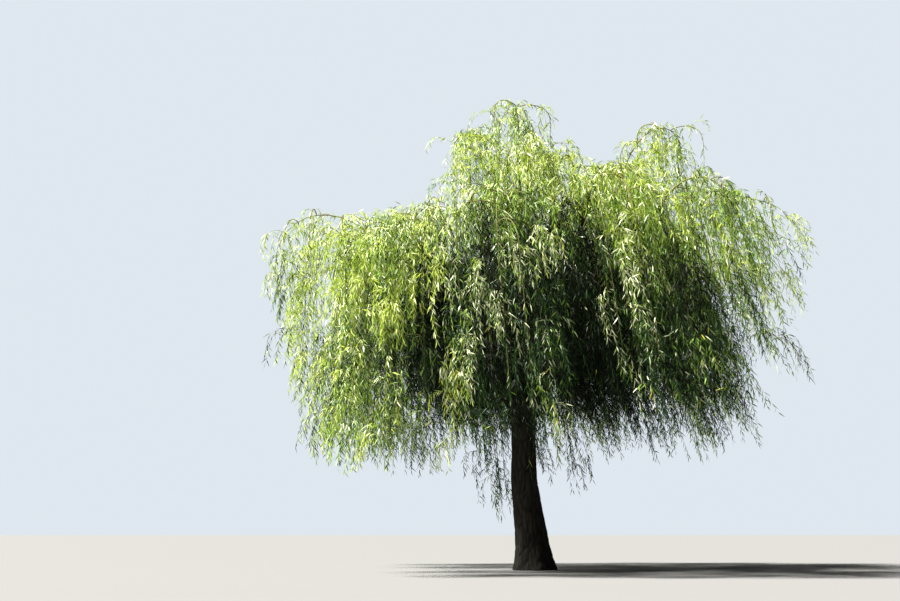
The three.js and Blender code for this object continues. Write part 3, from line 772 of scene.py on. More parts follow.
@dataclass
class MeshArrays:
    """Corners and triangles gathered for one piece."""

    corners: list[np.ndarray] = field(default_factory=list)
    triangles: list[np.ndarray] = field(default_factory=list)
    count: int = 0

    def add(self, corners: np.ndarray, triangles: np.ndarray) -> None:
        """Adds corners and the triangles between them.

        Args:
            corners: Rows of points.
            triangles: Rows of three indexes into the corners.
        """
        self.corners.append(corners)
        self.triangles.append(triangles + self.count)
        self.count += len(corners)

    def to_object(self, name: str, material: bpy.types.Material) -> bpy.types.Object:
        """Makes the piece.

        Args:
            name: Name of the piece.
            material: Its material.

        Returns:
            The object, in the scene.
        """
        corners = np.concatenate(self.corners).astype(np.float32)
        triangles = np.concatenate(self.triangles).astype(np.int32)
        mesh = bpy.data.meshes.new(name)
        mesh.vertices.add(len(corners))
        mesh.vertices.foreach_set("co", corners.ravel())
        mesh.loops.add(triangles.size)
        mesh.loops.foreach_set("vertex_index", triangles.ravel())
        mesh.polygons.add(len(triangles))
        mesh.polygons.foreach_set("loop_start", np.arange(0, triangles.size, 3, dtype=np.int32))
        mesh.update(calc_edges=True)
        mesh.shade_smooth()
        mesh.materials.append(material)
        made = bpy.data.objects.new(name, mesh)
        bpy.context.scene.collection.objects.link(made)
        return made


@dataclass(frozen=True)
class TwigTube:
    """How a twig is skinned: its sides, and its rings on the arch and on the drop."""

    sides: int
    arch_rings: int
    drop_rings: int

    def skin(self, twig: Twig, into: MeshArrays) -> None:
        """Adds a closed, tapering tube along a twig.

        Args:
            twig: The twig.
            into: The piece that it goes in.
        """
        shares = np.concatenate([np.linspace(0, twig.turn, self.arch_rings, endpoint=False),
                                 np.linspace(twig.turn, 1, self.drop_rings + 1)])
        middle = twig.at(shares)
        along = unit(np.gradient(middle, axis=0))
        first = unit(np.cross(twig.level, along))
        second = np.cross(along, first)
        radii = between(twig.radii[1], twig.radii[0], (1 - shares) ** 1.8)
        turns = np.arange(self.sides) * 2 * math.pi / self.sides
        ways = np.cos(turns)[None, :, None] * first[:, None] + np.sin(turns)[None, :, None] * second[:, None]
        rings = (middle[:, None] + ways * radii[:, None, None])[:-1].reshape(-1, 3)
        corners = np.concatenate([rings, middle[-1:]])
        into.add(corners, self._faces(len(shares) - 1))

    def _faces(self, rings: int) -> np.ndarray:
        """Returns the triangles of a tube of that many rings and a point."""
        k = self.sides
        side = np.arange(k)
        after = (side + 1) % k
        low = (np.arange(rings - 1) * k)[:, None]
        quads = [np.stack([low + side, low + after, low + after + k], -1).reshape(-1, 3),
                 np.stack([low + side, low + after + k, low + side + k], -1).reshape(-1, 3)]
        last = (rings - 1) * k
        point = np.stack([last + side, last + after, np.full(k, rings * k)], -1)
        base = np.stack([np.zeros(k - 2, int), np.arange(2, k), np.arange(1, k - 1)], -1)
        return np.concatenate([*quads, point, base])


MAIN_TUBE = TwigTube(5, 12, 6)
SHOOT_TUBE = TwigTube(3, 6, 4)
WITHE_TUBE = TwigTube(3, 2, 1)


class Thickness(Enum):
    """Radii at foot and tip of each sort of twig."""

    STEM = (0.0135, 0.0032)
    SPRIG_STEM = (0.009, 0.003)
    MAIN_SHOOT = (0.0075, 0.0022)
    FILLER = (0.008, 0.0024)
    LONG_FILLER = (0.0065, 0.002)
    BRANCHLET = (0.0052, 0.002)
    PLUME = (0.0042, 0.0014)
    STRAND = (0.0025, 0.001)
    SPRAY = (0.0022, 0.001)


@dataclass(frozen=True)
class LeafBlade:
    """The outline of a willow leaf: long, widest below the middle, with a drawn-out point.

    Attributes:
        length: Shortest and longest blade.
        width: Narrowest and widest blade.
        stations: Shares of the length at which the blade has two edges.
        widths: Share of the full width there.
        curl: How far the blade curves down at its point, as a share of its length.
    """

    length: tuple[float, float] = (0.074, 0.128)
    width: tuple[float, float] = (0.0115, 0.0158)
    stations: tuple[float, float] = (0.3, 0.7)
    widths: tuple[float, float] = (1.0, 0.68)
    curl: float = 0.16

    def corners(self, roots: np.ndarray, heading: np.ndarray, facing: np.ndarray,
                rng: np.random.Generator, scale: np.ndarray) -> np.ndarray:
        """Lays out the six corners of each leaf.

        Args:
            roots: Where the leaves sit.
            heading: Which way they point.
            facing: Which way their blades look.
            rng: Source of their sizes.
            scale: Size of each against the full one.

        Returns:
            An array of leaf by corner by coordinate.
        """
        count = len(roots)
        length = (rng.uniform(*self.length, count) * scale)[:, None]
        half = (rng.uniform(*self.width, count) * (0.4 + 0.6 * scale) / 2)[:, None]
        side = unit(np.cross(heading, facing))
        normal = np.cross(side, heading)
        curl = self.curl * rng.uniform(0.3, 1.6, count)[:, None] * length
        rows = [roots]
        for share, wide in zip(self.stations, self.widths):
            middle = roots + heading * length * share - normal * curl * share**2
            rows += [middle - side * half * wide, middle + side * half * wide]
        rows.append(roots + heading * length - normal * curl)
        return np.stack(rows, axis=1)

    @staticmethod
    def joined(leaves: np.ndarray, plain: bool) -> MeshArrays:
        """Joins leaves in one piece.

        Args:
            leaves: The corners of each.
            plain: Whether two faces do for each leaf, as in the shade, and not four.

        Returns:
            Their corners and triangles.
        """
        if plain:
            leaves, one = leaves[:, [0, 1, 2, 5]], np.array([[0, 1, 2], [1, 3, 2]])
        else:
            one = np.array([[0, 1, 2], [1, 4, 2], [1, 3, 4], [3, 5, 4]])
        made = MeshArrays()
        first = np.arange(len(leaves)) * leaves.shape[1]
        made.add(leaves.reshape(-1, 3), (first[:, None, None] + one).reshape(-1, 3))
        return made


# ---------------------------------------------------------------- trunk and boughs


def deselect_all() -> None:
    """Leaves nothing selected and no object active."""
    for one in bpy.context.selected_objects:
        one.select_set(False)
    bpy.context.view_layer.objects.active = None


def make_active(*objects: bpy.types.Object) -> None:
    """Selects these objects alone and makes the first the active one."""
    deselect_all()
    for one in objects:
        one.select_set(True)
    bpy.context.view_layer.objects.active = objects[0]


def get_corners(mesh: bpy.types.Mesh) -> np.ndarray:
    """Returns a mesh's corners as rows."""
    flat = np.empty(len(mesh.vertices) * 3, np.float32)
    mesh.vertices.foreach_get("co", flat)
    return flat.reshape(-1, 3).astype(float)


def set_corners(mesh: bpy.types.Mesh, corners: np.ndarray) -> None:
    """Moves a mesh's corners to these rows."""
    mesh.vertices.foreach_set("co", corners.astype(np.float32).ravel())
    mesh.update()


@dataclass
class Woodwork:
    """Trunk, primary limbs and leader in one skin of furrowed bark, and the boughs they carry.

    Attributes:
        skeleton: The middle lines.
        seed: Seed of the bark's noise, which would take the time of day without one.
        voxel: Size of the cells that melt trunk and limbs together.
        furrow: Depth of the furrows on the trunk.
        plate: Width of the bark's plates on the trunk.
        stretch: How many times longer than wide a plate is.
        warp: How far the plates' edges wander.
        crack: How wide the furrows are against the plates.
        limb_plates: Size of the plates on limbs against those on the trunk.
        ridge_level: Depth that leaves the surface where it was.
        roughness: How far the boughs' surface strays.
    """

    skeleton: Skeleton
    seed: int = 11
    voxel: float = 0.0142
    furrow: float = 0.016
    plate: float = 0.062
    stretch: float = 4.6
    warp: float = 0.42
    crack: float = 0.34
    limb_plates: float = 0.52
    ridge_level: float = 0.35
    roughness: float = 0.0035
    # The trunk's bark is dark grey-brown, darkened further as painted shade for the shade that the crown
    # casts on it.
    trunk_bark: BarkFinish = BarkFinish("trunk_bark", (45, 41, 31), (11, 10, 7), 26.0, 0.004, "furrow")
    bough_bark: BarkFinish = BarkFinish("bough_bark", (96, 84, 58), (44, 36, 24), 40.0, 0.0025, "furrow")

    def build(self) -> None:
        """Builds and dresses the trunk with its limbs, and the arms with the crest boughs."""
        noise.seed_set(self.seed)
        self._trunk_and_limbs()
        self._boughs()

    @staticmethod
    def _rod(name: str, sides: int, steps: int) -> bpy.types.Object:
        """Draws up a closed rod of radius 1 and height 1, ring by ring.

        Args:
            name: Name of the rod.
            sides: Its sides.
            steps: Its steps in height.

        Returns:
            The rod, active and selected.
        """
        deselect_all()
        bpy.ops.mesh.primitive_circle_add(vertices=sides, radius=1, fill_type="NGON")
        rod = bpy.context.object
        rod.name = name
        bpy.ops.object.mode_set(mode="EDIT")
        bpy.ops.mesh.select_all(action="SELECT")
        for _ in range(steps):
            bpy.ops.mesh.extrude_region_move(TRANSFORM_OT_translate={"value": (0, 0, 1 / steps)})
        bpy.ops.mesh.select_all(action="SELECT")
        bpy.ops.mesh.normals_make_consistent(inside=False)
        bpy.ops.object.mode_set(mode="OBJECT")
        return rod

    @staticmethod
    def _copy(rod: bpy.types.Object, name: str) -> bpy.types.Object:
        """Returns a copy of a rod with its own mesh."""
        made = bpy.data.objects.new(name, rod.data.copy())
        bpy.context.scene.collection.objects.link(made)
        return made

    @staticmethod
    def _keep_depths(piece: bpy.types.Object, depths: np.ndarray) -> None:
        """Keeps how deep each corner lies in a furrow as an attribute of the mesh."""
        kept = piece.data.attributes.new("furrow", "FLOAT", "POINT")
        kept.data.foreach_set("value", depths.astype(np.float32))

    @staticmethod
    def _along_bough(rod: bpy.types.Object, bough: Bough, sunk: float) -> None:
        """Lays a rod along a bough.

        Args:
            rod: The rod of radius 1 and height 1.
            bough: The bough.
            sunk: How far its foot reaches back into what carries it.
        """
        corners = get_corners(rod.data)
        shares = corners[:, 2]
        along = bough.curve.along(shares)
        first = unit(np.cross(bough.level(), along))
        second = np.cross(along, first)
        radius = bough.radius_at(np.clip(shares, 0, 1))[:, None]
        middle = bough.curve.at(shares) - along * (sunk * (shares == 0))[:, None]
        set_corners(rod.data, middle + (first * corners[:, :1] + second * corners[:, 1:2]) * radius)

    def _along_trunk(self, rod: bpy.types.Object) -> None:
        """Shapes a rod as the trunk, with its foot a little below ground for the flat cut."""
        corners = get_corners(rod.data)
        angles = np.arctan2(corners[:, 1], corners[:, 0])
        trunk = self.skeleton.trunk
        below = 0.05
        heights = corners[:, 2] ** 1.15 * (trunk.height + below) - below
        above = np.maximum(heights, 0)
        radii = trunk.radius(above) + trunk.flare(above, angles)
        x = radii * np.cos(angles) - trunk.lean(above)
        set_corners(rod.data, np.column_stack([x, radii * np.sin(angles), heights]))

    def _trunk_and_limbs(self) -> None:
        """Melts trunk, primary limbs and leader together and carves their bark."""
        trunk = self._rod("trunk_and_limbs", 56, 44)
        self._along_trunk(trunk)
        rod = self._rod("limb_rod", 24, 30)
        parts = [trunk]
        limbs = (*self.skeleton.limbs, self.skeleton.leader)
        for bough in limbs:
            parts.append(self._copy(rod, bough.name + "_rod"))
            self._along_bough(parts[-1], bough, 0.03)
        bpy.data.objects.remove(rod)
        make_active(*parts)
        bpy.ops.object.join()
        melt = trunk.modifiers.new("melt", "REMESH")
        melt.mode, melt.voxel_size = "VOXEL", self.voxel
        bpy.ops.object.modifier_apply(modifier=melt.name)
        ease = trunk.modifiers.new("ease", "SMOOTH")
        ease.factor, ease.iterations = 0.5, 6
        bpy.ops.object.modifier_apply(modifier=ease.name)
        self._carve(trunk)
        self._cut_at_ground(trunk)
        nodes = ["trunk", "central_leader", *(limb.name for limb in self.skeleton.limbs)]
        self._finish(trunk, self.trunk_bark, "trunk_bark", nodes)

    @staticmethod
    def _cut_at_ground(trunk: bpy.types.Object) -> None:
        """Cuts the trunk flat and closed at ground level."""
        make_active(trunk)
        bpy.ops.object.mode_set(mode="EDIT")
        bpy.ops.mesh.select_all(action="SELECT")
        bpy.ops.mesh.bisect(plane_co=(0, 0, 0), plane_no=(0, 0, 1), use_fill=True, clear_inner=True)
        bpy.ops.object.mode_set(mode="OBJECT")
        corners, nearly = get_corners(trunk.data), 0.0002
        corners[np.abs(corners[:, 2]) < nearly, 2] = 0.0
        set_corners(trunk.data, corners)

    def _lines(self) -> list[tuple[np.ndarray, np.ndarray, np.ndarray, float]]:
        """Returns points, ways across and size of the bark for the trunk and each limb."""
        steps = 120
        heights = np.linspace(0, self.skeleton.trunk.height, steps)
        middle = np.column_stack([-self.skeleton.trunk.lean(heights), heights * 0, heights])
        lines = [(middle, np.tile([1.0, 0, 0], (steps, 1)), np.tile([0, 1.0, 0], (steps, 1)), 1.0)]
        shares = np.linspace(0.02, 1, 90)
        for bough in (*self.skeleton.limbs, self.skeleton.leader):
            first = unit(np.cross(bough.level(), bough.curve.along(shares)))
            second = np.cross(bough.curve.along(shares), first)
            lines.append((bough.curve.at(shares), first, second, self.limb_plates))
        return lines

    def _carve(self, trunk: bpy.types.Object) -> None:
        """Presses long, branching furrows into the bark, and keeps how deep each place lies.

        Args:
            trunk: The melted piece.
        """
        lines = self._lines()
        tree = kdtree.KDTree(sum(len(line[0]) for line in lines))
        places: list[tuple[int, int, float]] = []
        for number, (middle, _, _, _) in enumerate(lines):
            run = np.concatenate([[0], np.cumsum(np.linalg.norm(np.diff(middle, axis=0), axis=1))])
            for i, point in enumerate(middle):
                tree.insert(Vector(point), len(places))
                places.append((number, i, float(run[i])))
        tree.balance()
        corners = get_corners(trunk.data)
        flat = np.empty(corners.size, np.float32)
        trunk.data.vertices.foreach_get("normal", flat)
        normals = flat.reshape(-1, 3)
        depths = np.zeros(len(corners))
        for i, corner in enumerate(corners):
            _, index, _ = tree.find(Vector(corner))
            number, at, run = places[index]
            middle, first, second, size = lines[number]
            rel = corner - middle[at]
            across = (float(rel @ first[at]), float(rel @ second[at]))
            height = corner[2] if number == 0 else run + float(rel @ np.cross(first[at], second[at]))
            depths[i] = self._depth(across, height, size, number)
        sizes = np.where(corners[:, 2] > HEAD_HEIGHT + 0.15, 0.5, 1.0)
        corners -= normals * ((depths - self.ridge_level) * self.furrow * sizes)[:, None]
        set_corners(trunk.data, corners)
        self._keep_depths(trunk, depths)

    def _depth(self, across: tuple[float, float], height: float, size: float, number: int) -> float:
        """Tells how deep in a furrow a place of the bark lies.

        Args:
            across: Its place across the limb.
            height: Its place along the limb.
            size: Size of the plates there against those of the trunk.
            number: Which limb it is on.

        Returns:
            0 on a ridge, 1 at the bottom of a furrow.
        """
        wide = self.plate * size
        spot = Vector((across[0] / wide, across[1] / wide, height / (wide * self.stretch) + number * 9.7))
        spot += self.warp * noise.noise_vector(spot * 0.8)
        near = noise.voronoi(spot)[0]
        crack = 1 - min(1.0, (near[1] - near[0]) / self.crack)
        fine = 0.5 + 0.5 * noise.noise(Vector((spot.x * 3.1, spot.y * 3.1, spot.z * 2.2)))
        return min(1.0, max(0.0, 0.8 * crack**1.4 + 0.36 * fine * (0.4 + 0.6 * (1 - crack))))

    def _boughs(self) -> None:
        """Builds the arms and the crest boughs with a finer bark."""
        name = "arms_and_crest_boughs"
        rod = self._rod(name, 10, 44)
        boughs, parts = (*self.skeleton.arms, *self.skeleton.crest_boughs), []
        for number, bough in enumerate(boughs):
            limb = self._copy(rod, bough.name + "_rod")
            self._along_bough(limb, bough, 0.02)
            corners = get_corners(limb.data)
            middle = bough.curve.at(np.clip(get_corners(rod.data)[:, 2], 0, 1))
            spots = (Vector((x * 30, y * 30, z * 7 + number)) for x, y, z in corners)
            rough = np.array([noise.noise(spot) for spot in spots])
            set_corners(limb.data, corners + unit(corners - middle) * (rough * self.roughness)[:, None])
            self._keep_depths(limb, 0.5 - rough)
            parts.append(limb)
        bpy.data.objects.remove(rod)
        make_active(*parts)
        bpy.ops.object.join()
        made = bpy.context.object
        made.name = made.data.name = name
        self._finish(made, self.bough_bark, "limb_bark", [bough.name for bough in boughs])

    @staticmethod
    def _finish(piece: bpy.types.Object, bark: BarkFinish, slot: str, names: list[str]) -> None:
        """Dresses a piece of wood, hangs it under the root body and hides the imported parts that it stands
        for.

        Args:
            piece: The piece.
            bark: Its finish.
            slot: Not used.
            names: The nodes that it stands for.
        """
        make_active(piece)
        bpy.ops.object.shade_smooth()
        piece.data.materials.clear()
        piece.data.materials.append(bark.material())
        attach(piece, "root")
        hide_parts(*names)
        log.info("%s: %d faces", piece.name, len(piece.data.polygons))


# ---------------------------------------------------------------- foliage


@dataclass(frozen=True)
class Habit:
    """How one sort of branchlet grows.

    Attributes:
        share: Share of all branchlets that grow so.
        leaves: Shares of its carrier's drop between which it leaves.
        from_arch: Share of them that leave the carrier's arch instead.
        far: How far aside it hangs, least and most.
        outward: How much it heads out of the crown rather than round its carrier.
        drop: How far it hangs below its arch, least and most, or nothing where it hangs to the hem.
        pale: Power that makes its tone paler than even chance would, towards the colours of painted light.
    """

    share: float
    leaves: tuple[float, float]
    from_arch: float
    far: tuple[float, float]
    outward: float
    drop: tuple[float, float] | None
    pale: float


class Habits(Enum):
    """The habits: plumes that arch out, cascades from above, and what hangs lowest."""

    PLUME = Habit(0.42, (0.0, 0.88), 0.4, (0.3, 0.78), 1.2, (0.05, 0.5), 1.5)
    CASCADE = Habit(0.28, (0.0, 0.6), 0.5, (0.2, 0.5), 0.4, None, 1.0)
    HEM = Habit(0.3, (0.4, 0.97), 0.0, (0.1, 0.46), 0.6, None, 1.0)


@dataclass(frozen=True)
class MassKind:
    """Sizes of one kind of mass.

    Attributes:
        shoots: Main shoots, as its solid has them.
        width: How far they hang to the side of the stem.
        ragged: How much their lower ends vary.
        branchlets: Finer branchlets that leave stem and shoots.
        strands: Hanging strands of each branchlet.
        lower: How much lower than the hem of the main shoots the strands hang.
        varied: How much their lower ends vary.
        sprays: Short sprays for each metre of arch.
        spray: Shortest and longest spray.
    """

    shoots: int
    width: float
    ragged: float
    branchlets: int
    strands: int
    lower: float
    varied: float
    sprays: float
    spray: tuple[float, float] = (0.2, 0.5)


class Kinds(Enum):
    """The kinds of mass."""

    CURTAIN = MassKind(6, 0.64, 0.16, 40, 7, 0.34, 0.2, 3.6)
    SHOULDER = MassKind(6, 0.56, 0.24, 30, 6, 0.5, 0.4, 4.4)
    CREST = MassKind(5, 0.52, 0.14, 13, 5, 0.45, 0.5, 8.0, (0.3, 0.7))
    HUMP = MassKind(8, 0.60, 0.14, 18, 5, 0.45, 0.5, 7.0, (0.3, 0.65))
    INNER = MassKind(4, 0.43, 0.17, 14, 7, 0.35, 0.2, 2.0)
    SPRIG = MassKind(2, 0.13, 0.09, 3, 3, 0.02, 0.1, 5.0)


@dataclass
class Mass:
    """One mass of foliage.

    Attributes:
        name: Its node's name.
        seed: Seed of its numbers.
        tier: Which heights it keeps to.
        kind: Its kind.
        foot: Tip of the bough that carries it.
        out: Which way it heads in plan.
        site: Middle of its own ground in plan.
        turns: The rise, the turn over and the hanging point of its arch.
        hem: How low its main shoots hang.
        twigs: Its stem and main shoots.
    """

    name: str
    seed: int
    tier: str
    kind: Kinds
    foot: np.ndarray
    out: np.ndarray
    site: tuple[float, float]
    turns: tuple[np.ndarray, np.ndarray, np.ndarray]
    hem: float
    twigs: list[Twig] = field(default_factory=list)

    @property
    def side(self) -> np.ndarray:
        """The level direction square to the way out."""
        return np.cross(UP, self.out)

    def hem_under(self, place: np.ndarray) -> float:
        """Returns how low the mass hangs under a place, higher on the far left and right."""
        start, rise = (2.9, 3.3) if place[0] < 0 else (2.25, 1.8)
        return self.hem + rise * max(0.0, abs(place[0]) - start)


@dataclass
class Crown:
    """All the masses of foliage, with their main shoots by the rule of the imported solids.

    Attributes:
        skeleton: The limbs that carry them.
        masses: The masses.
        reach: How far from the middle the curtains hang.
        set_tips: Reach and crest of the curtains that make the crown's tips at left and right.
        curtain_ground: How far out the middle of a curtain's own ground is.
        inner_ground: The same for an inner mass.
        step: How much a main twig is shortened at a time until it fits.
        tiers: The heights that each tier keeps to.
    """

    skeleton: Skeleton
    masses: list[Mass] = field(default_factory=list)
    reach: float = 3.43
    set_tips: dict[int, tuple[float, float]] = field(default_factory=lambda: {
        0: (3.9, 5.33), 5: (3.56, 5.15), 6: (3.7, 5.01), 11: (3.83, 5.26)})
    curtain_ground: float = 2.72
    inner_ground: float = 1.15
    step: float = 0.25
    tiers: dict[str, tuple[float, float]] = field(default_factory=lambda: {
        "inner": (0.0, CREST_FLOOR), "curtain": (0.0, CURTAIN_TOP),
        "shoulder": (0.0, math.inf), "crest": (CREST_FLOOR, math.inf)})

    def grow(self) -> None:
        """Lays out the masses and grows the stem and main shoots of each."""
        makers = ((self._curtain, 12), (self._inner, 4), (self._sprig, 2), (self._crest, len(CREST_SITES)))
        self.masses = [make(i) for make, count in makers for i in range(count)]
        for mass in self.masses:
            self._grow_main(mass)

    def _curtain(self, index: int) -> Mass:
        """Returns the outer mass at the tip of an arm."""
        arm, seed = self.skeleton.arms[index], 8 + index
        out = outward(arm.angle)
        reach = self.reach + 0.11 * math.cos(math.radians(2 * arm.angle)) + spread(seed, 0, Use.REACH, 0.15)
        crest = shoulder_at(arm.angle) + spread(seed, 0, Use.HEIGHT, 0.07)
        reach, crest = self.set_tips.get(index, (reach, crest))
        turns = (at_height(WIND.still(arm.tip) + out * 0.2 * (reach - self.skeleton.arm_reach), crest + 0.05),
                 at_height(out * (reach - 0.09), crest + 0.08), at_height(out * reach, crest - 0.76))
        hem = 2.21 + 0.19 * out[0] + spread(seed, 0, Use.HEM, 0.12)
        site = (self.curtain_ground * out[0], self.curtain_ground * out[1])
        return Mass(f"curtain_{index + 1}", seed, "curtain", Kinds.CURTAIN, arm.tip, out, site, turns, hem)

    def _inner(self, index: int) -> Mass:
        """Returns the inner mass at the tip of a primary limb."""
        limb = self.skeleton.limbs[index]
        out = outward(limb.angle)
        turns = (at_height(WIND.still(limb.tip) + out * 0.18, 4.12),
                 at_height(out * 1.42, 4.18), at_height(out * 1.42, 3.88))
        site = (self.inner_ground * out[0], self.inner_ground * out[1])
        return Mass(f"inner_{index + 1}", 120 + index, "inner", Kinds.INNER, limb.tip, out, site, turns, 2.42)

    def _sprig(self, index: int) -> Mass:
        """Returns a sprig that hangs beside the trunk from its head."""
        angle, reach, hem = ((200, 0.43, 1.02), (335, 0.56, 1.33))[index]
        out = outward(angle)
        foot = np.array([HEAD_X, 0.0, HEAD_HEIGHT - 0.12]) + out * 0.12
        end = WIND.still(foot) + out * (reach - 0.12)
        turns = (at_height(WIND.still(foot) + out * 0.13, foot[2] + 0.11),
                 at_height(end, foot[2] + 0.09), at_height(end, foot[2] - 0.04))
        return Mass(f"trunk_sprig_{index + 1}", 40 + index, "inner", Kinds.SPRIG, foot, out,
                    (end[0], end[1]), turns, hem)

    def _crest(self, index: int) -> Mass:
        """Returns a crest or shoulder at the tip of a crest bough."""
        place, bough = CREST_SITES[index], self.skeleton.crest_boughs[index]
        kind = Kinds[place.kind.upper()]
        out = unit(np.array([place.site[0] - bough.tip[0], place.site[1] - bough.tip[1], 0.0]))
        hang = np.array([*place.site, place.peak - 0.48]) + out * 0.14
        turns = (at_height(bough.tip + (hang - bough.tip) * 0.2, place.peak + 0.06),
                 at_height(hang, place.peak + 0.16), hang)
        tier = "shoulder" if kind is Kinds.SHOULDER else "crest"
        return Mass(f"crest_{index + 1}", 138 + index, tier, kind, bough.tip, out, place.site,
                    turns, place.hem)

    def _reaches(self, mass: Mass, height: float, gap: float) -> bool:
        """Tells whether a mass's tier reaches a height."""
        bottom, top = self.tiers[mass.tier]
        return bottom + gap < height < top - gap

    def _in_space(self, mass: Mass, still: np.ndarray) -> bool:
        """Tells whether a point in still air lies in a mass's own space."""
        if not self._reaches(mass, still[2], SPACE_GAP):
            return False
        own = math.hypot(still[0] - mass.site[0], still[1] - mass.site[1])
        for other in self.masses:
            if other is mass or not self._reaches(other, still[2], 0):
                continue
            theirs = math.hypot(still[0] - other.site[0], still[1] - other.site[1])
            apart = math.hypot(mass.site[0] - other.site[0], mass.site[1] - other.site[1])
            if (theirs**2 - own**2) / (2 * apart) <= SPACE_GAP:
                return False
        return True

    def _hang(self, mass: Mass, arch: list[np.ndarray], hem: float, clear_from: float,
              level: np.ndarray, radii: tuple[float, float]) -> Twig | None:
        """Hangs a main twig from its arch, as low as its space lets it.

        Args:
            mass: The mass that it belongs to.
            arch: The four points of its arch.
            hem: How low it would hang.
            clear_from: Share of it from which it has to keep clear of the wood.
            level: The level direction square to its arch.
            radii: Its radii.

        Returns:
            The twig, or nothing where even a short one doesn't fit.
        """
        drop, widest = arch[3][2] - hem, 0.012
        while drop > self.step:
            twig = Twig(Arch(np.array(arch)), drop, level, radii)
            points = twig.at(np.linspace(clear_from, 1, 21))
            if self.skeleton.is_clear(points, widest) and all(
                    self._in_space(mass, still) for still in WIND.still(points)):
                return twig
            drop -= self.step
        return None

    def _grow_main(self, mass: Mass) -> None:
        """Grows a mass's stem and the main shoots that leave it."""
        kind = mass.kind.value
        arch = [WIND.still(mass.foot), *mass.turns]
        radii = (Thickness.SPRIG_STEM if mass.kind is Kinds.SPRIG else Thickness.STEM).value
        stem = self._hang(mass, arch, mass.hem_under(mass.turns[2]), 0.5, mass.side, radii)
        stem = stem or Twig(Arch(np.array(arch)), 0.1, mass.side, radii)
        mass.twigs = [stem]
        for i in range(1, kind.shoots + 1):
            leaves = between(0.16, 0.96, (i - 0.5) / kind.shoots) + spread(mass.seed, i, Use.FROM, 0.04)
            start = WIND.still(stem.at(stem.turn * leaves))
            aside = self._fan(mass, i, start)
            level = unit(np.cross(aside, UP))
            for nearer in (1.0, 0.7, 0.4):
                hang = start + aside * nearer - UP * 0.42 * kind.width
                low = start + (hang - start) * 0.4 + UP * 0.32 * kind.width
                high = hang + UP * 0.48 * kind.width
                hem = mass.hem_under(hang) + spread(mass.seed, i, Use.HEM, kind.ragged)
                points = [start, low, high, hang]
                shoot = self._hang(mass, points, hem, 0.2, level, Thickness.MAIN_SHOOT.value)
                if shoot:
                    mass.twigs.append(shoot)
                    break

    def _fan(self, mass: Mass, i: int, start: np.ndarray) -> np.ndarray:
        """Returns which way and how far a main shoot hangs from its stem."""
        width, first = mass.kind.value.width, chance(mass.seed, 0, Use.FIRST)
        if mass.kind is Kinds.CURTAIN:
            step = (i * GOLDEN_RATIO + first) % 1
            room = min(1.0, math.hypot(start[0], start[1]) / self.reach) * width
            return mass.side * (2 * step - 1) * room + mass.out * 0.3 * room * chance(mass.seed, i, Use.FAR)
        turn = math.radians(GOLDEN_ANGLE * i + 360 * first)
        far = width * between(0.5, 1, chance(mass.seed, i, Use.FAR))
        return mass.side * math.sin(turn) * far + mass.out * math.cos(turn) * far


@dataclass(frozen=True)
class Rim:
    """The crown's edge as the camera sees it, past which hardly a twig hangs.

    Each edge is given as heights, and the place across the crown at those heights.

    Attributes:
        left: Where twigs start to grow thin on the left.
        right: Where they do on the right.
        far_left: Where they end on the left.
        far_right: Where they end on the right.
        depth: How far in front of and behind the middle they start to grow thin.
        fades: Over how much they do on the left, on the right, in depth, and at the roof.
        above: How far past the roof some still reach.
        under: How far below the roof they start to grow thin.
        least: The share that grows at the edge, and the share past it.
    """

    left: Profile = ((2.1, 2.4, 3.1, 3.9, 4.6, 5.2), (-3.0, -2.9, -2.7, -2.66, -2.66, -2.3))
    right: Profile = ((2.1, 2.8, 4.6, 5.5), (2.6, 2.8, 3.1, 2.6))
    far_left: Profile = ((2.0, 3.1, 3.9), (-3.4, -3.5, -4.1))
    far_right: Profile = ((2.1, 3.5, 4), (3.3, 3.9, 4.3))
    depth: float = 2.9
    fades: tuple[float, float, float, float] = (0.42, 0.8, 0.8, 0.7)
    above: float = 0.12
    under: float = 0.2
    least: tuple[float, float] = (0.3, 0.01)

    def fullness(self, points: np.ndarray) -> float:
        """Tells how full the crown is where a twig hangs: thin at its rim and on its crests.

        Args:
            points: Points down the twig.

        Returns:
            The share of twigs that grow there.
        """
        x, y, z = points[-3:].mean(axis=0)
        eye_x, eye_y, eye_z = CAMERA_PLACE
        nearer = eye_y / (eye_y - y)
        x, high = (x - eye_x) * nearer + eye_x, (points[:, 2].max() - eye_z) * nearer + eye_z
        roof = np.interp(x, *OUTLINE)
        if high > roof + self.above or not np.interp(z, *self.far_left) < x < np.interp(z, *self.far_right):
            return self.least[1]
        past = (np.interp(z, *self.left) - x, x - np.interp(z, *self.right), abs(y) - self.depth,
                high - roof + self.under)
        return max(self.least[0], 1 - max(*(far / fade for far, fade in zip(past, self.fades)), 0.0))


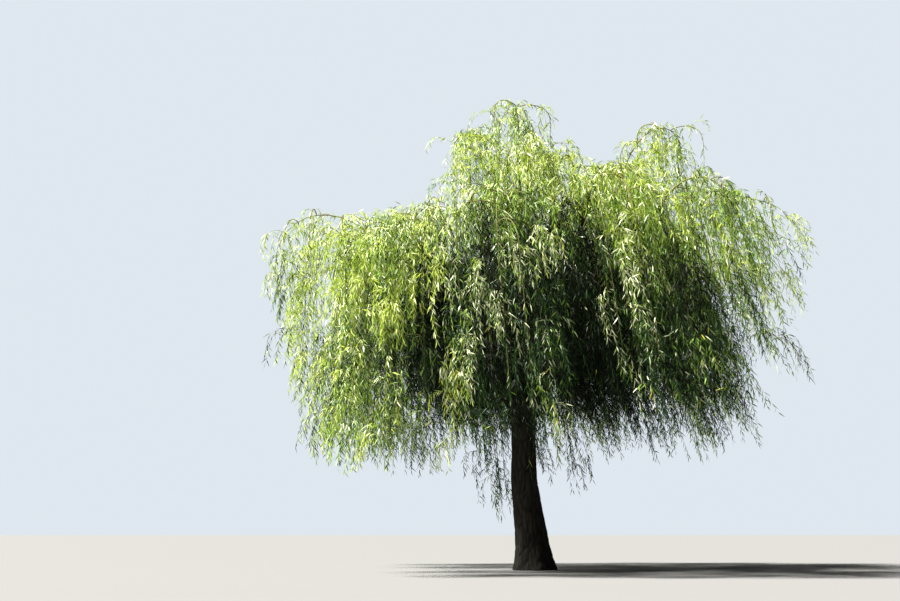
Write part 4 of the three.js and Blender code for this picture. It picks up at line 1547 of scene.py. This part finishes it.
@dataclass(frozen=True)
class Zones:
    """Where each leaf colour grows, from how the tree is lit in the photograph: the colours paint its light
    and shade.

    Each zone is given as where it starts and how much further on it is full.

    Attributes:
        reach: Half the crown's width and depth.
        inside: Under the outer foliage, by the share of the way out to it, where painted shade grows.
        top: Up in the crown, where painted sunlight and glints grow.
        left: Towards the light, where painted sunlight and glints grow.
        right: Away from it, where more painted half shade and plain green grow.
        front: Towards the camera, the hollow where painted shade grows, with painted glints to its left.
        hem: The lower edge, downwards, where the painted glow of light shining through and painted sunlight
            grow.
        low: The lower half, downwards, where painted shade grows.
    """

    reach: tuple[float, float] = (3.6, 3.4)
    inside: tuple[float, float] = (0.9, 0.3)
    top: tuple[float, float] = (4.2, 1.0)
    left: tuple[float, float] = (-0.6, 1.4)
    right: tuple[float, float] = (1.0, 1.4)
    front: tuple[float, float] = (0.4, 1.4)
    hem: tuple[float, float] = (2.65, 0.6)
    low: tuple[float, float] = (3.7, 1.4)

    def weights(self, points: np.ndarray) -> np.ndarray:
        """Weighs the colours, and so the painted light and shade, at places in the crown.

        Args:
            points: Rows of points.

        Returns:
            A row of weights for each, in the order of the colours.
        """
        x, y, z = points.T
        wide, deep = self.reach
        roof = np.interp(x, *OUTLINE)
        dome = roof - 0.8 * (roof - 4.6) * (y / deep) ** 2
        inside = falling(np.maximum(np.hypot(x / wide, y / deep), z / dome), *self.inside)
        top, left, right = rising(z, *self.top), falling(x, *self.left), rising(x, *self.right)
        # The shaded hollow in front lies below a line that sinks to the right
        below = falling(z, 4.6 - 0.3 * np.maximum(0, x - 0.5), 1.0)
        front = falling(y, *self.front) * rising(x, -1.7, 1.0) * np.clip(3.5 - x, 0.2, 1) * below
        hem = falling(z, *self.hem) * (0.4 + 0.3 * left)
        low = falling(z, *self.low)
        # Painted sunlight grows to the top and left, where the light falls, and fades low down and in the
        # shaded hollow in front.
        lit = np.clip(0.27 + 0.73 * top + 0.5 * left - 0.35 * low, 0.03, 1) * (1 - 0.95 * front)
        # Silvery undersides, with more where the light falls as painted glints.
        underside_and_glint = 0.13 + 0.34 * front * falling(x, 1.7, 0.8) + 0.16 * left + 0.2 * top
        open_air = 1 - inside
        fresh = (0.5 + 0.2 * top + 0.4 * right * open_air) * (0.2 + 0.8 * open_air) * (1 - 0.6 * front)
        shaded = 0.03 + 1.3 * inside + 1.5 * front * (0.5 + 0.5 * inside) + 0.35 * low
        # One weight for each colour in turn: painted glow, painted sunlight, silver undersides with painted
        # glints, plain green, painted half shade and painted shade.
        return np.column_stack([
            0.004 + 0.1 * hem,
            lit * open_air * 1.3 + 0.3 * hem,
            underside_and_glint * (0.15 + 0.85 * open_air),
            fresh + 0.45 * hem,
            0.3 + 0.1 * right + 0.4 * front + 0.4 * inside - 0.12 * top + 0.7 * low,
            shaded * (1 - 0.7 * hem),
        ]).clip(0.001)


@dataclass
class Foliage:
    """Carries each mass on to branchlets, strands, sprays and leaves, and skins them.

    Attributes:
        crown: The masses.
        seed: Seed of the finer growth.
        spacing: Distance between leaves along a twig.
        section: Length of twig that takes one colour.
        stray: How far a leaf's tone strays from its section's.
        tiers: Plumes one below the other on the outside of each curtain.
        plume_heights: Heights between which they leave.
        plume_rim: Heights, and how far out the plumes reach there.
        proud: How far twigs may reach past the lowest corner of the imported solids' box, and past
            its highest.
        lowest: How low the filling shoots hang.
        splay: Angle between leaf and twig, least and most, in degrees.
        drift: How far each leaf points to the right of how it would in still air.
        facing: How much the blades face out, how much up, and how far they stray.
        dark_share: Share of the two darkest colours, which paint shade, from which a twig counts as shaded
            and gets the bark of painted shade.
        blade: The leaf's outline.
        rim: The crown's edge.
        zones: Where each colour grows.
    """

    crown: Crown
    seed: int = 7
    spacing: float = 0.0285
    section: float = 0.36
    stray: float = 0.13
    tiers: int = 8
    plume_heights: tuple[float, float] = (4.95, 2.5)
    plume_rim: Profile = ((2.1, 3.1, 3.8, 4.3), (3.3, 3.5, 3.72, 3.8))
    proud: tuple[float, float] = (0.06, 0.02)
    lowest: float = 2.25
    splay: tuple[float, float] = (15, 62)
    drift: float = 0.1
    facing: tuple[float, float, float] = (0.9, 0.7, 0.75)
    dark_share: float = 0.62
    blade: LeafBlade = field(default_factory=LeafBlade)
    rim: Rim = field(default_factory=Rim)
    zones: Zones = field(default_factory=Zones)
    fillers: list[Twig] = field(default_factory=list)
    branchlets: list[Twig] = field(default_factory=list)
    strands: list[Twig] = field(default_factory=list)
    sprays: list[Twig] = field(default_factory=list)
    stem_bark: BarkFinish = BarkFinish("stem_bark", (118, 114, 58), (68, 66, 30), 60.0, 0.001)
    withe_bark: BarkFinish = BarkFinish("withe_bark", (132, 138, 62), (76, 84, 30), 90.0, 0.0005)
    # The shaded bark is a dark copy of the twigs' bark: painted shade for twigs among the darkest leaves.
    shaded_bark: BarkFinish = BarkFinish("shaded_bark", (34, 36, 18), (14, 16, 8), 90.0, 0.0005)
    rng: np.random.Generator = field(init=False)

    def __post_init__(self) -> None:
        """Seeds the numbers that the finer growth draws."""
        self.rng = np.random.default_rng(self.seed)

    def build(self) -> None:
        """Grows and skins all the foliage."""
        for mass in self.crown.masses:
            self._grow_fine(mass)
        self._fill_between()
        self._close_partings()
        log.info("%d fillers, %d branchlets, %d strands, %d sprays", len(self.fillers),
                 len(self.branchlets), len(self.strands), len(self.sprays))
        self._twig_pieces()
        self._leaf_pieces()

    # Growth

    def _grow_fine(self, mass: Mass) -> None:
        """Grows the branchlets of a mass, their strands, and the sprays on all its arches."""
        kind, rng = mass.kind.value, self.rng
        phase = rng.uniform(0, 360)
        habits = [habit.value for habit in Habits]
        own = self._rim_plumes(mass) if mass.kind is Kinds.CURTAIN else []
        for plume in own:
            self._add_strands(plume, 14, 0.3)
        for i in range(kind.branchlets):
            habit = habits[int(rng.choice(len(habits), p=[habit.share for habit in habits]))]
            carrier = mass.twigs[i % len(mass.twigs)]
            branchlet = self._branchlet(mass, carrier, habit, GOLDEN_ANGLE * i + phase)
            if branchlet:
                own.append(branchlet)
                self._add_strands(branchlet, kind.strands, 0.74)
        self.branchlets += own
        for carrier in mass.twigs:
            self._add_strands(carrier, round(carrier.length * 4.4), 0.5)
        for carrier in (*mass.twigs, *own):
            self._add_sprays(carrier, kind.sprays, kind.spray)

    def _branchlet(self, mass: Mass, carrier: Twig, habit: Habit, angle: float) -> Twig | None:
        """Grows one branchlet.

        Args:
            mass: The mass that it belongs to.
            carrier: What it leaves.
            habit: How it grows.
            angle: Its turn round the carrier, in degrees.

        Returns:
            The branchlet, or nothing where it doesn't fit.
        """
        kind, rng = mass.kind.value, self.rng
        start = WIND.still(carrier.at(self._leaving(carrier, 0.3, 1 - habit.from_arch, habit.leaves)))
        middle = np.array([*mass.site, 0.0]) if mass.tier == "crest" else np.zeros(3)
        out = away(start - middle)
        scale = kind.width / 0.6  # The habits are given for a mass of this width
        far = rng.uniform(*habit.far) * scale
        aside = unit(out * habit.outward + outward(angle)) * far
        if habit.drop:
            low_end = start[2] - 0.5 * far - rng.uniform(*habit.drop) * scale
        else:
            low_end = mass.hem_under(start) - kind.lower + rng.uniform(-1, 1) * kind.varied
        made = self._hung(start, aside, 1.1, Thickness.BRANCHLET, low_end, 1.0)
        if made:
            made.tone = made.tone**habit.pale
        return made

    def _rim_plumes(self, mass: Mass) -> list[Twig]:
        """Grows the long plumes that arch out of a curtain in tiers, one below the other.

        Args:
            mass: The curtain.

        Returns:
            The plumes.
        """
        rng, made = self.rng, []
        for tier in range(self.tiers):
            height = between(*self.plume_heights, (tier + rng.random()) / self.tiers)
            carrier = mass.twigs[int(rng.integers(len(mass.twigs)))]
            fallen = (carrier.arch.points[3][2] - height) / carrier.drop
            share = carrier.turn + (1 - carrier.turn) * fallen if fallen > 0 else carrier.turn * 0.85
            start = WIND.still(carrier.at(min(share, 0.95)))
            way = unit(mass.out + mass.side * rng.uniform(-0.7, 0.7))
            rim = np.interp(start[2], *self.plume_rim) - 0.25 * abs(way[1])
            far = max(0.3, (rim - math.hypot(start[0], start[1])) * rng.uniform(0.85, 1.05))
            turns = [start, start + (way * 0.36 + UP * 0.3) * far, start + (way * 0.8 + UP * 0.06) * far,
                     start + (way - UP * 0.5) * far]
            bend = way * rng.uniform(0.2, 0.5)
            # Plumes stand out of the crown, so their tone is drawn paler, towards painted sunlight and
            # glints.
            plume = Twig(Arch(np.array(turns)), rng.uniform(0.08, 0.3), unit(np.cross(way, UP)),
                         Thickness.PLUME.value, bend, rng.uniform(0.004, 0.012), float(rng.random() ** 1.6))
            points = plume.at(np.linspace(0.3, 1, 8))
            if self._inside(points) and self.crown.skeleton.is_clear(points, 0.005, FINE_CLEARANCE):
                made.append(plume)
        return made

    def _fill_between(self) -> None:
        """Grows leafy shoots from the boughs themselves, which fill the crown between its masses."""
        tree, rng = self.crown.skeleton, self.rng
        plans = [*((arm, 0.2, 13) for arm in tree.arms), *((b, 0.2, 8) for b in tree.crest_boughs),
                 *((limb, 0.45, 12) for limb in tree.limbs), (tree.leader, 0.5, 12)]
        for bough, first, count in plans:
            phase = rng.uniform(0, 360)
            for i in range(count):
                start = WIND.still(bough.curve.at(between(first, 0.98, (i + rng.random()) / count)))
                way = outward(GOLDEN_ANGLE * i + phase)
                aside = way * rng.uniform(0.32, 0.8) + away(start) * 0.14
                low_end = rng.uniform(self.lowest, 2.8) if i % 2 else start[2] - rng.uniform(0.8, 1.8)
                shoot = self._hung(start, aside, 1.2, Thickness.FILLER, max(low_end, self.lowest), 1.0)
                if shoot:
                    # Shoots deep in the crown take darker tones, towards painted shade.
                    self._keep_filler(shoot, 0.4 + 0.6 * shoot.tone, 1.4)

    def _close_partings(self) -> None:
        """Grows long shoots from the ends of the arms into the partings between the curtains."""
        rng = self.rng
        for arm in self.crown.skeleton.arms:
            out, side = outward(arm.angle), outward(arm.angle + 90)
            for i in range(4):
                start = WIND.still(arm.curve.at(rng.uniform(0.72, 1)))
                aside = side * (1 if i % 2 else -1) * rng.uniform(0.35, 0.7) + out * rng.uniform(0.1, 0.8)
                shoot = self._hung(start, aside, 0.85, Thickness.LONG_FILLER, rng.uniform(2.15, 3.1), 0.5)
                if shoot:
                    self._keep_filler(shoot, shoot.tone, 1.15)

    def _keep_filler(self, shoot: Twig, tone: float, leaf_size: float) -> None:
        """Gives a filling shoot its strands and sprays.

        Args:
            shoot: The shoot.
            tone: Where its leaves come in the row of colours.
            leaf_size: Size of its leaves against full ones.
        """
        shoot.tone, shoot.leaf_size = tone, leaf_size
        self.fillers.append(shoot)
        self._add_strands(shoot, round(shoot.length * 7), 0.8)
        self._add_sprays(shoot, 3.0, (0.2, 0.5))

    def _leaving(self, carrier: Twig, first: float, dropping: float, leaves: tuple[float, float]) -> float:
        """Draws where along its carrier a twig leaves it.

        Args:
            carrier: The carrier.
            first: Share of its arch before which none leaves.
            dropping: Share of the twigs that leave its drop and not its arch.
            leaves: Shares of its drop between which those leave.

        Returns:
            A share of the carrier.
        """
        if self.rng.random() < dropping:
            return carrier.turn + (1 - carrier.turn) * self.rng.uniform(*leaves)
        return carrier.turn * self.rng.uniform(first, 1)

    def _hung(self, start: np.ndarray, aside: np.ndarray, lift: float, sort: Thickness,
              low_end: float, thinning: float) -> Twig | None:
        """Hangs a finer twig.

        Args:
            start: Where it leaves its carrier, in still air.
            aside: How far to the side it hangs.
            lift: How high it arches, for each metre aside.
            sort: Its sort.
            low_end: How low it hangs.
            thinning: How strongly the crown's rim is thinned of such twigs, from 0 to 1.

        Returns:
            The twig, or nothing where it wouldn't fit.
        """
        rng = self.rng
        far = float(np.linalg.norm(aside))
        hang = start + aside - UP * 0.5 * far
        low = start + (hang - start) * 0.4 + UP * 0.5 * lift * far
        high = hang + UP * 0.62 * lift * far
        drop = max(hang[2] - low_end, rng.uniform(0.1, 0.25))
        bend = WIND.bend_fine(start[0], rng)
        level = unit(np.cross(aside, UP))
        for _ in range(3):
            twig = Twig(Arch(np.array([start, low, high, hang])), drop, level, sort.value, bend,
                        rng.uniform(0.008, 0.026), rng.random())
            points = twig.at(np.linspace(0.25, 1, 8))
            if self._inside(points) and self.crown.skeleton.is_clear(points, sort.value[0], FINE_CLEARANCE):
                return twig if rng.random() < self.rim.fullness(points) ** thinning else None
            drop *= 0.6
        return None

    def _inside(self, points: np.ndarray) -> bool:
        """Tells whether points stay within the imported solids' reach."""
        low, high = np.array(CAD_BOX[0]) - self.proud[0], np.array(CAD_BOX[1]) + self.proud[1]
        return bool(np.all(points > low) and np.all(points < high))

    def _add_strands(self, carrier: Twig, count: int, dropping: float) -> None:
        """Hangs short strands round a branchlet or shoot, like the hairs of a fox's tail.

        Args:
            carrier: What they leave.
            count: How many.
            dropping: Share of them that leave its drop and not its arch.
        """
        rng = self.rng
        phase = rng.uniform(0, 360)
        for i in range(count):
            share = self._leaving(carrier, 0.3, dropping, (0.08, 0.98))
            start = WIND.still(carrier.at(share))
            aside = outward(GOLDEN_ANGLE * i + phase) * rng.uniform(0.05, 0.2) + away(start) * 0.05
            low_end = start[2] - 0.08 - rng.uniform(0.15, 0.62 - 0.3 * share)
            thinning = 0.3 if share < carrier.turn else 0.9
            strand = self._hung(start, aside, 1.15, Thickness.STRAND, low_end, thinning)
            if strand:
                strand.tone, strand.leaf_size = carrier.tone + rng.normal(0, 0.08), carrier.leaf_size
                self.strands.append(strand)

    def _add_sprays(self, carrier: Twig, density: float, sizes: tuple[float, float]) -> None:
        """Sets short sprays along the arch of a twig.

        Args:
            carrier: The twig.
            density: Sprays for each metre of arch.
            sizes: The shortest and the longest spray.
        """
        rng = self.rng
        arch_length = carrier.length - carrier.drop
        for _ in range(int(arch_length * density + rng.random())):
            start = WIND.still(carrier.at(min(1.0, carrier.turn * rng.uniform(0.25, 1.15))))
            turn = rng.uniform(0, 2 * math.pi)
            size = rng.uniform(*sizes)
            room = max(0.0, CAD_BOX[1][2] - start[2])
            rise = min(rng.uniform(0.05, 0.4), room / (0.7 * size))
            way = np.array([math.cos(turn), math.sin(turn), 0.0]) + away(start) * 0.4
            hang = start + (way * 0.62 + UP * (rise - 0.45)) * size
            low = start + (way * 0.24 + UP * rise) * size
            high = start + (way * 0.5 + UP * (rise * 0.9)) * size
            twig = Twig(Arch(np.array([start, low, high, hang])), size * 0.2, unit(np.cross(way, UP)),
                        Thickness.SPRAY.value, np.zeros(3), 0.006, carrier.tone + rng.normal(0, 0.12))
            points = twig.at(np.linspace(0, 1, 5))
            if self._inside(points) and rng.random() < self.rim.fullness(points) ** 0.4:
                self.sprays.append(twig)

    # Twigs

    def _twig_pieces(self) -> None:
        """Skins all the twigs and joins each kind, with those in the shade apart in a dark bark of painted
        shade.
        """
        stems, shaded_shoots, withes, shaded_withes = (MeshArrays() for _ in range(4))
        for twig in (twig for mass in self.crown.masses for twig in mass.twigs):
            MAIN_TUBE.skin(twig, stems)
        for twig in (*self.fillers, *self.branchlets):
            SHOOT_TUBE.skin(twig, shaded_shoots if self._is_shaded(twig) else stems)
        for twig in (*self.strands, *self.sprays):
            WITHE_TUBE.skin(twig, shaded_withes if self._is_shaded(twig) else withes)
        dark = self.shaded_bark.material()
        self._finish(stems.to_object("stems_and_shoots", self.stem_bark.material()), "limb_bark")
        self._finish(shaded_shoots.to_object("shaded_shoots", dark), "limb_bark")
        self._finish(withes.to_object("withes", self.withe_bark.material()), "foliage")
        self._finish(shaded_withes.to_object("shaded_withes", dark), "foliage")

    def _is_shaded(self, twig: Twig) -> bool:
        """Tells whether a twig hangs where most leaves are of the two darkest colours, those of painted
        shade.
        """
        weights = self.zones.weights(twig.at(np.array([0.5])))[0]
        return bool(weights[-2:].sum() > self.dark_share * weights.sum())

    def _finish(self, piece: bpy.types.Object, slot: str) -> None:
        """Hangs a piece of foliage under the root body and hides the imported masses.

        Args:
            piece: The piece.
            slot: Not used.
        """
        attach(piece, "root")
        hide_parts(*(mass.name for mass in self.crown.masses))
        log.info("%s: %d triangles", piece.name, len(piece.data.polygons))

    # Leaves

    def _leaf_pieces(self) -> None:
        """Sets the leaves along every twig and joins each colour, in pieces of a fair size."""
        rows = [self._leaves_on(twig, 0.1 if i else 0.15)
                for mass in self.crown.masses for i, twig in enumerate(mass.twigs)]
        rows += [self._leaves_on(twig, 0.12) for twig in (*self.fillers, *self.branchlets)]
        rows += [self._leaves_on(twig, 0.07) for twig in (*self.strands, *self.sprays)]
        corners = np.concatenate([row[0] for row in rows])
        kinds = np.concatenate([row[1] for row in rows])
        log.info("%d leaves", len(corners))
        for number, spray in enumerate(Spray):
            own = corners[kinds == number]
            material, plain = spray.value.material(), spray in (Spray.DEEP, Spray.SHADED)
            parts = max(1, math.ceil(len(own) * (2 if plain else 4) / MOST_TRIANGLES))
            for part, some in enumerate(np.array_split(own, parts)):
                name = f"leaves_{spray.name.lower()}" + (f"_{part + 1}" if parts > 1 else "")
                self._finish(self.blade.joined(some, plain).to_object(name, material), "foliage")

    def _leaves_on(self, twig: Twig, first: float) -> tuple[np.ndarray, np.ndarray]:
        """Lays out the leaves of a twig.

        Args:
            twig: The twig.
            first: Share of the twig before which there are none.

        Returns:
            The corners of each leaf, and the number of its colour.
        """
        rng = self.rng
        count = max(3, int(twig.length * (1 - first) / self.spacing / twig.leaf_size))
        shares = first + (1 - first) * (np.arange(count) + rng.uniform(0.1, 0.9, count)) / count
        roots = twig.at(shares)
        along = unit(twig.at(shares + 0.004) - roots)
        across = unit(np.cross(twig.level, along))
        other = np.cross(along, across)
        turn = np.radians(GOLDEN_ANGLE * np.arange(count) + rng.uniform(0, 360)) + rng.normal(0, 0.3, count)
        way = across * np.cos(turn)[:, None] + other * np.sin(turn)[:, None]
        splay = np.radians(rng.uniform(*self.splay, count))[:, None]
        droop = (0.5 + 0.5 * (1 + np.minimum(0, along[:, 2])))[:, None] * rng.uniform(0.2, 1.4, (count, 1))
        heading = along * np.cos(splay) + way * np.sin(splay) - UP * droop
        heading[:, 0] += self.drift
        heading = unit(heading)
        out, up, stray = self.facing
        facing = away(roots) * out + UP * up + rng.normal(0, stray, (count, 3))
        scale = twig.leaf_size * (1 - 0.35 * np.clip((shares - 0.85) / 0.15, 0, 1) * rng.random(count))
        corners = self.blade.corners(roots, heading, facing, rng, scale)
        return corners, self._colours(twig, shares)

    def _colours(self, twig: Twig, shares: np.ndarray) -> np.ndarray:
        """Deals out the colours of a twig's leaves, one for each section of it.

        Args:
            twig: The twig.
            shares: Where its leaves sit.

        Returns:
            The number of the colour of each leaf.
        """
        sections = max(1, round(twig.length / self.section))
        middles = twig.at((np.arange(sections) + 0.5) / sections)
        weights = self.zones.weights(middles)
        steps = np.cumsum(weights / weights.sum(axis=1, keepdims=True), axis=1)
        drawn = twig.tone + self.rng.normal(0, 0.08, sections)
        where = np.minimum((shares * sections).astype(int), sections - 1)
        leaf_drawn = np.abs(drawn[where] + self.rng.normal(0, self.stray, len(shares)))
        leaf_drawn = 1 - np.abs(1 - leaf_drawn)
        return (leaf_drawn[:, None] > steps[where]).sum(axis=1)


# ---------------------------------------------------------------- studio


@dataclass(frozen=True)
class Studio:
    """A pale floor, soft light from the upper left, and the camera at the photograph's angle.

    Attributes:
        camera_place: Where the camera stands.
        camera_tilt: How far it looks up, in degrees.
        lens: Its focal length in millimetres.
        light_place: Which way the light stands from the tree.
        light_strength: Its strength.
        light_width: How wide it looks from the tree, in degrees, which softens its shadows.
        light_colour: Its colour.
        floor_colour: Colour of the floor.
        back_colour: Colour of the backdrop.
        back_strengths: How strongly the backdrop lights the scene, and how brightly it shows.
    """

    camera_place: tuple[float, float, float] = CAMERA_PLACE
    camera_tilt: float = 10.40
    lens: float = 50.0
    light_place: tuple[float, float, float] = (-8.2, -1.6, 12.2)
    light_strength: float = 18.5
    light_width: float = 8.0
    light_colour: tuple[float, float, float] = (1.0, 0.97, 0.9)
    floor_colour: tuple[float, float, float, float] = (0.145, 0.145, 0.147, 1)
    back_colour: tuple[float, float, float, float] = (0.80, 0.87, 0.94, 1)
    back_strengths: tuple[float, float] = (0.1, 0.92)

    def build(self) -> None:
        """Sets up floor, light, backdrop colour and camera."""
        self._floor()
        self._light()
        self._backdrop()
        self._camera()
        bpy.context.scene.view_settings.view_transform = "Standard"

    def _floor(self) -> None:
        """Lays a plain pale floor."""
        deselect_all()
        bpy.ops.mesh.primitive_plane_add(size=240, location=(0, 0, 0))
        floor = bpy.context.object
        floor.name = "studio_floor"
        made, tree = new_material("studio_floor")
        surface = add_node(tree, "ShaderNodeBsdfPrincipled", Base_Color=self.floor_colour, Roughness=0.95)
        connect(tree, (surface, 0, add_node(tree, "ShaderNodeOutputMaterial"), "Surface"))
        floor.data.materials.append(made)

    def _light(self) -> None:
        """Adds the soft light from far away."""
        heading = (-Vector(self.light_place)).to_track_quat("-Z", "Y").to_euler()
        bpy.ops.object.light_add(type="SUN", location=self.light_place, rotation=heading)
        light = bpy.context.object
        light.name = "key"
        light.data.energy = self.light_strength
        light.data.angle = math.radians(self.light_width)
        light.data.color = self.light_colour

    def _backdrop(self) -> None:
        """Surrounds the scene with a pale colour that lights it dimly."""
        world = bpy.data.worlds.new("pale_backdrop")
        bpy.context.scene.world = world
        world.use_nodes = True
        tree = world.node_tree
        back = tree.nodes["Background"]
        back.inputs["Color"].default_value = self.back_colour
        seen = add_node(tree, "ShaderNodeLightPath")
        dim, bright = self.back_strengths
        strength = add_node(tree, "ShaderNodeMapRange", To_Min=dim, To_Max=bright)
        connect(tree, (seen, "Is Camera Ray", strength, "Value"), (strength, 0, back, "Strength"))

    def _camera(self) -> None:
        """Stands the camera at the photograph's place and angle."""
        turned = (math.radians(90 + self.camera_tilt), 0, 0)
        bpy.ops.object.camera_add(location=self.camera_place, rotation=turned)
        camera = bpy.context.object
        camera.name = "camera"
        camera.data.lens = self.lens
        camera.data.sensor_width = 36
        camera.data.clip_end = 400
        bpy.context.scene.camera = camera


def main() -> None:
    """Builds the studio, the wood and the foliage."""
    logging.basicConfig(level=logging.INFO, format="%(name)s: %(message)s")
    Studio().build()
    skeleton = Skeleton()
    skeleton.grow()
    Woodwork(skeleton).build()
    crown = Crown(skeleton)
    crown.grow()
    log.info("%d masses, %d main twigs", len(crown.masses), sum(len(m.twigs) for m in crown.masses))
    Foliage(crown).build()


if __name__ == "__main__":
    main()
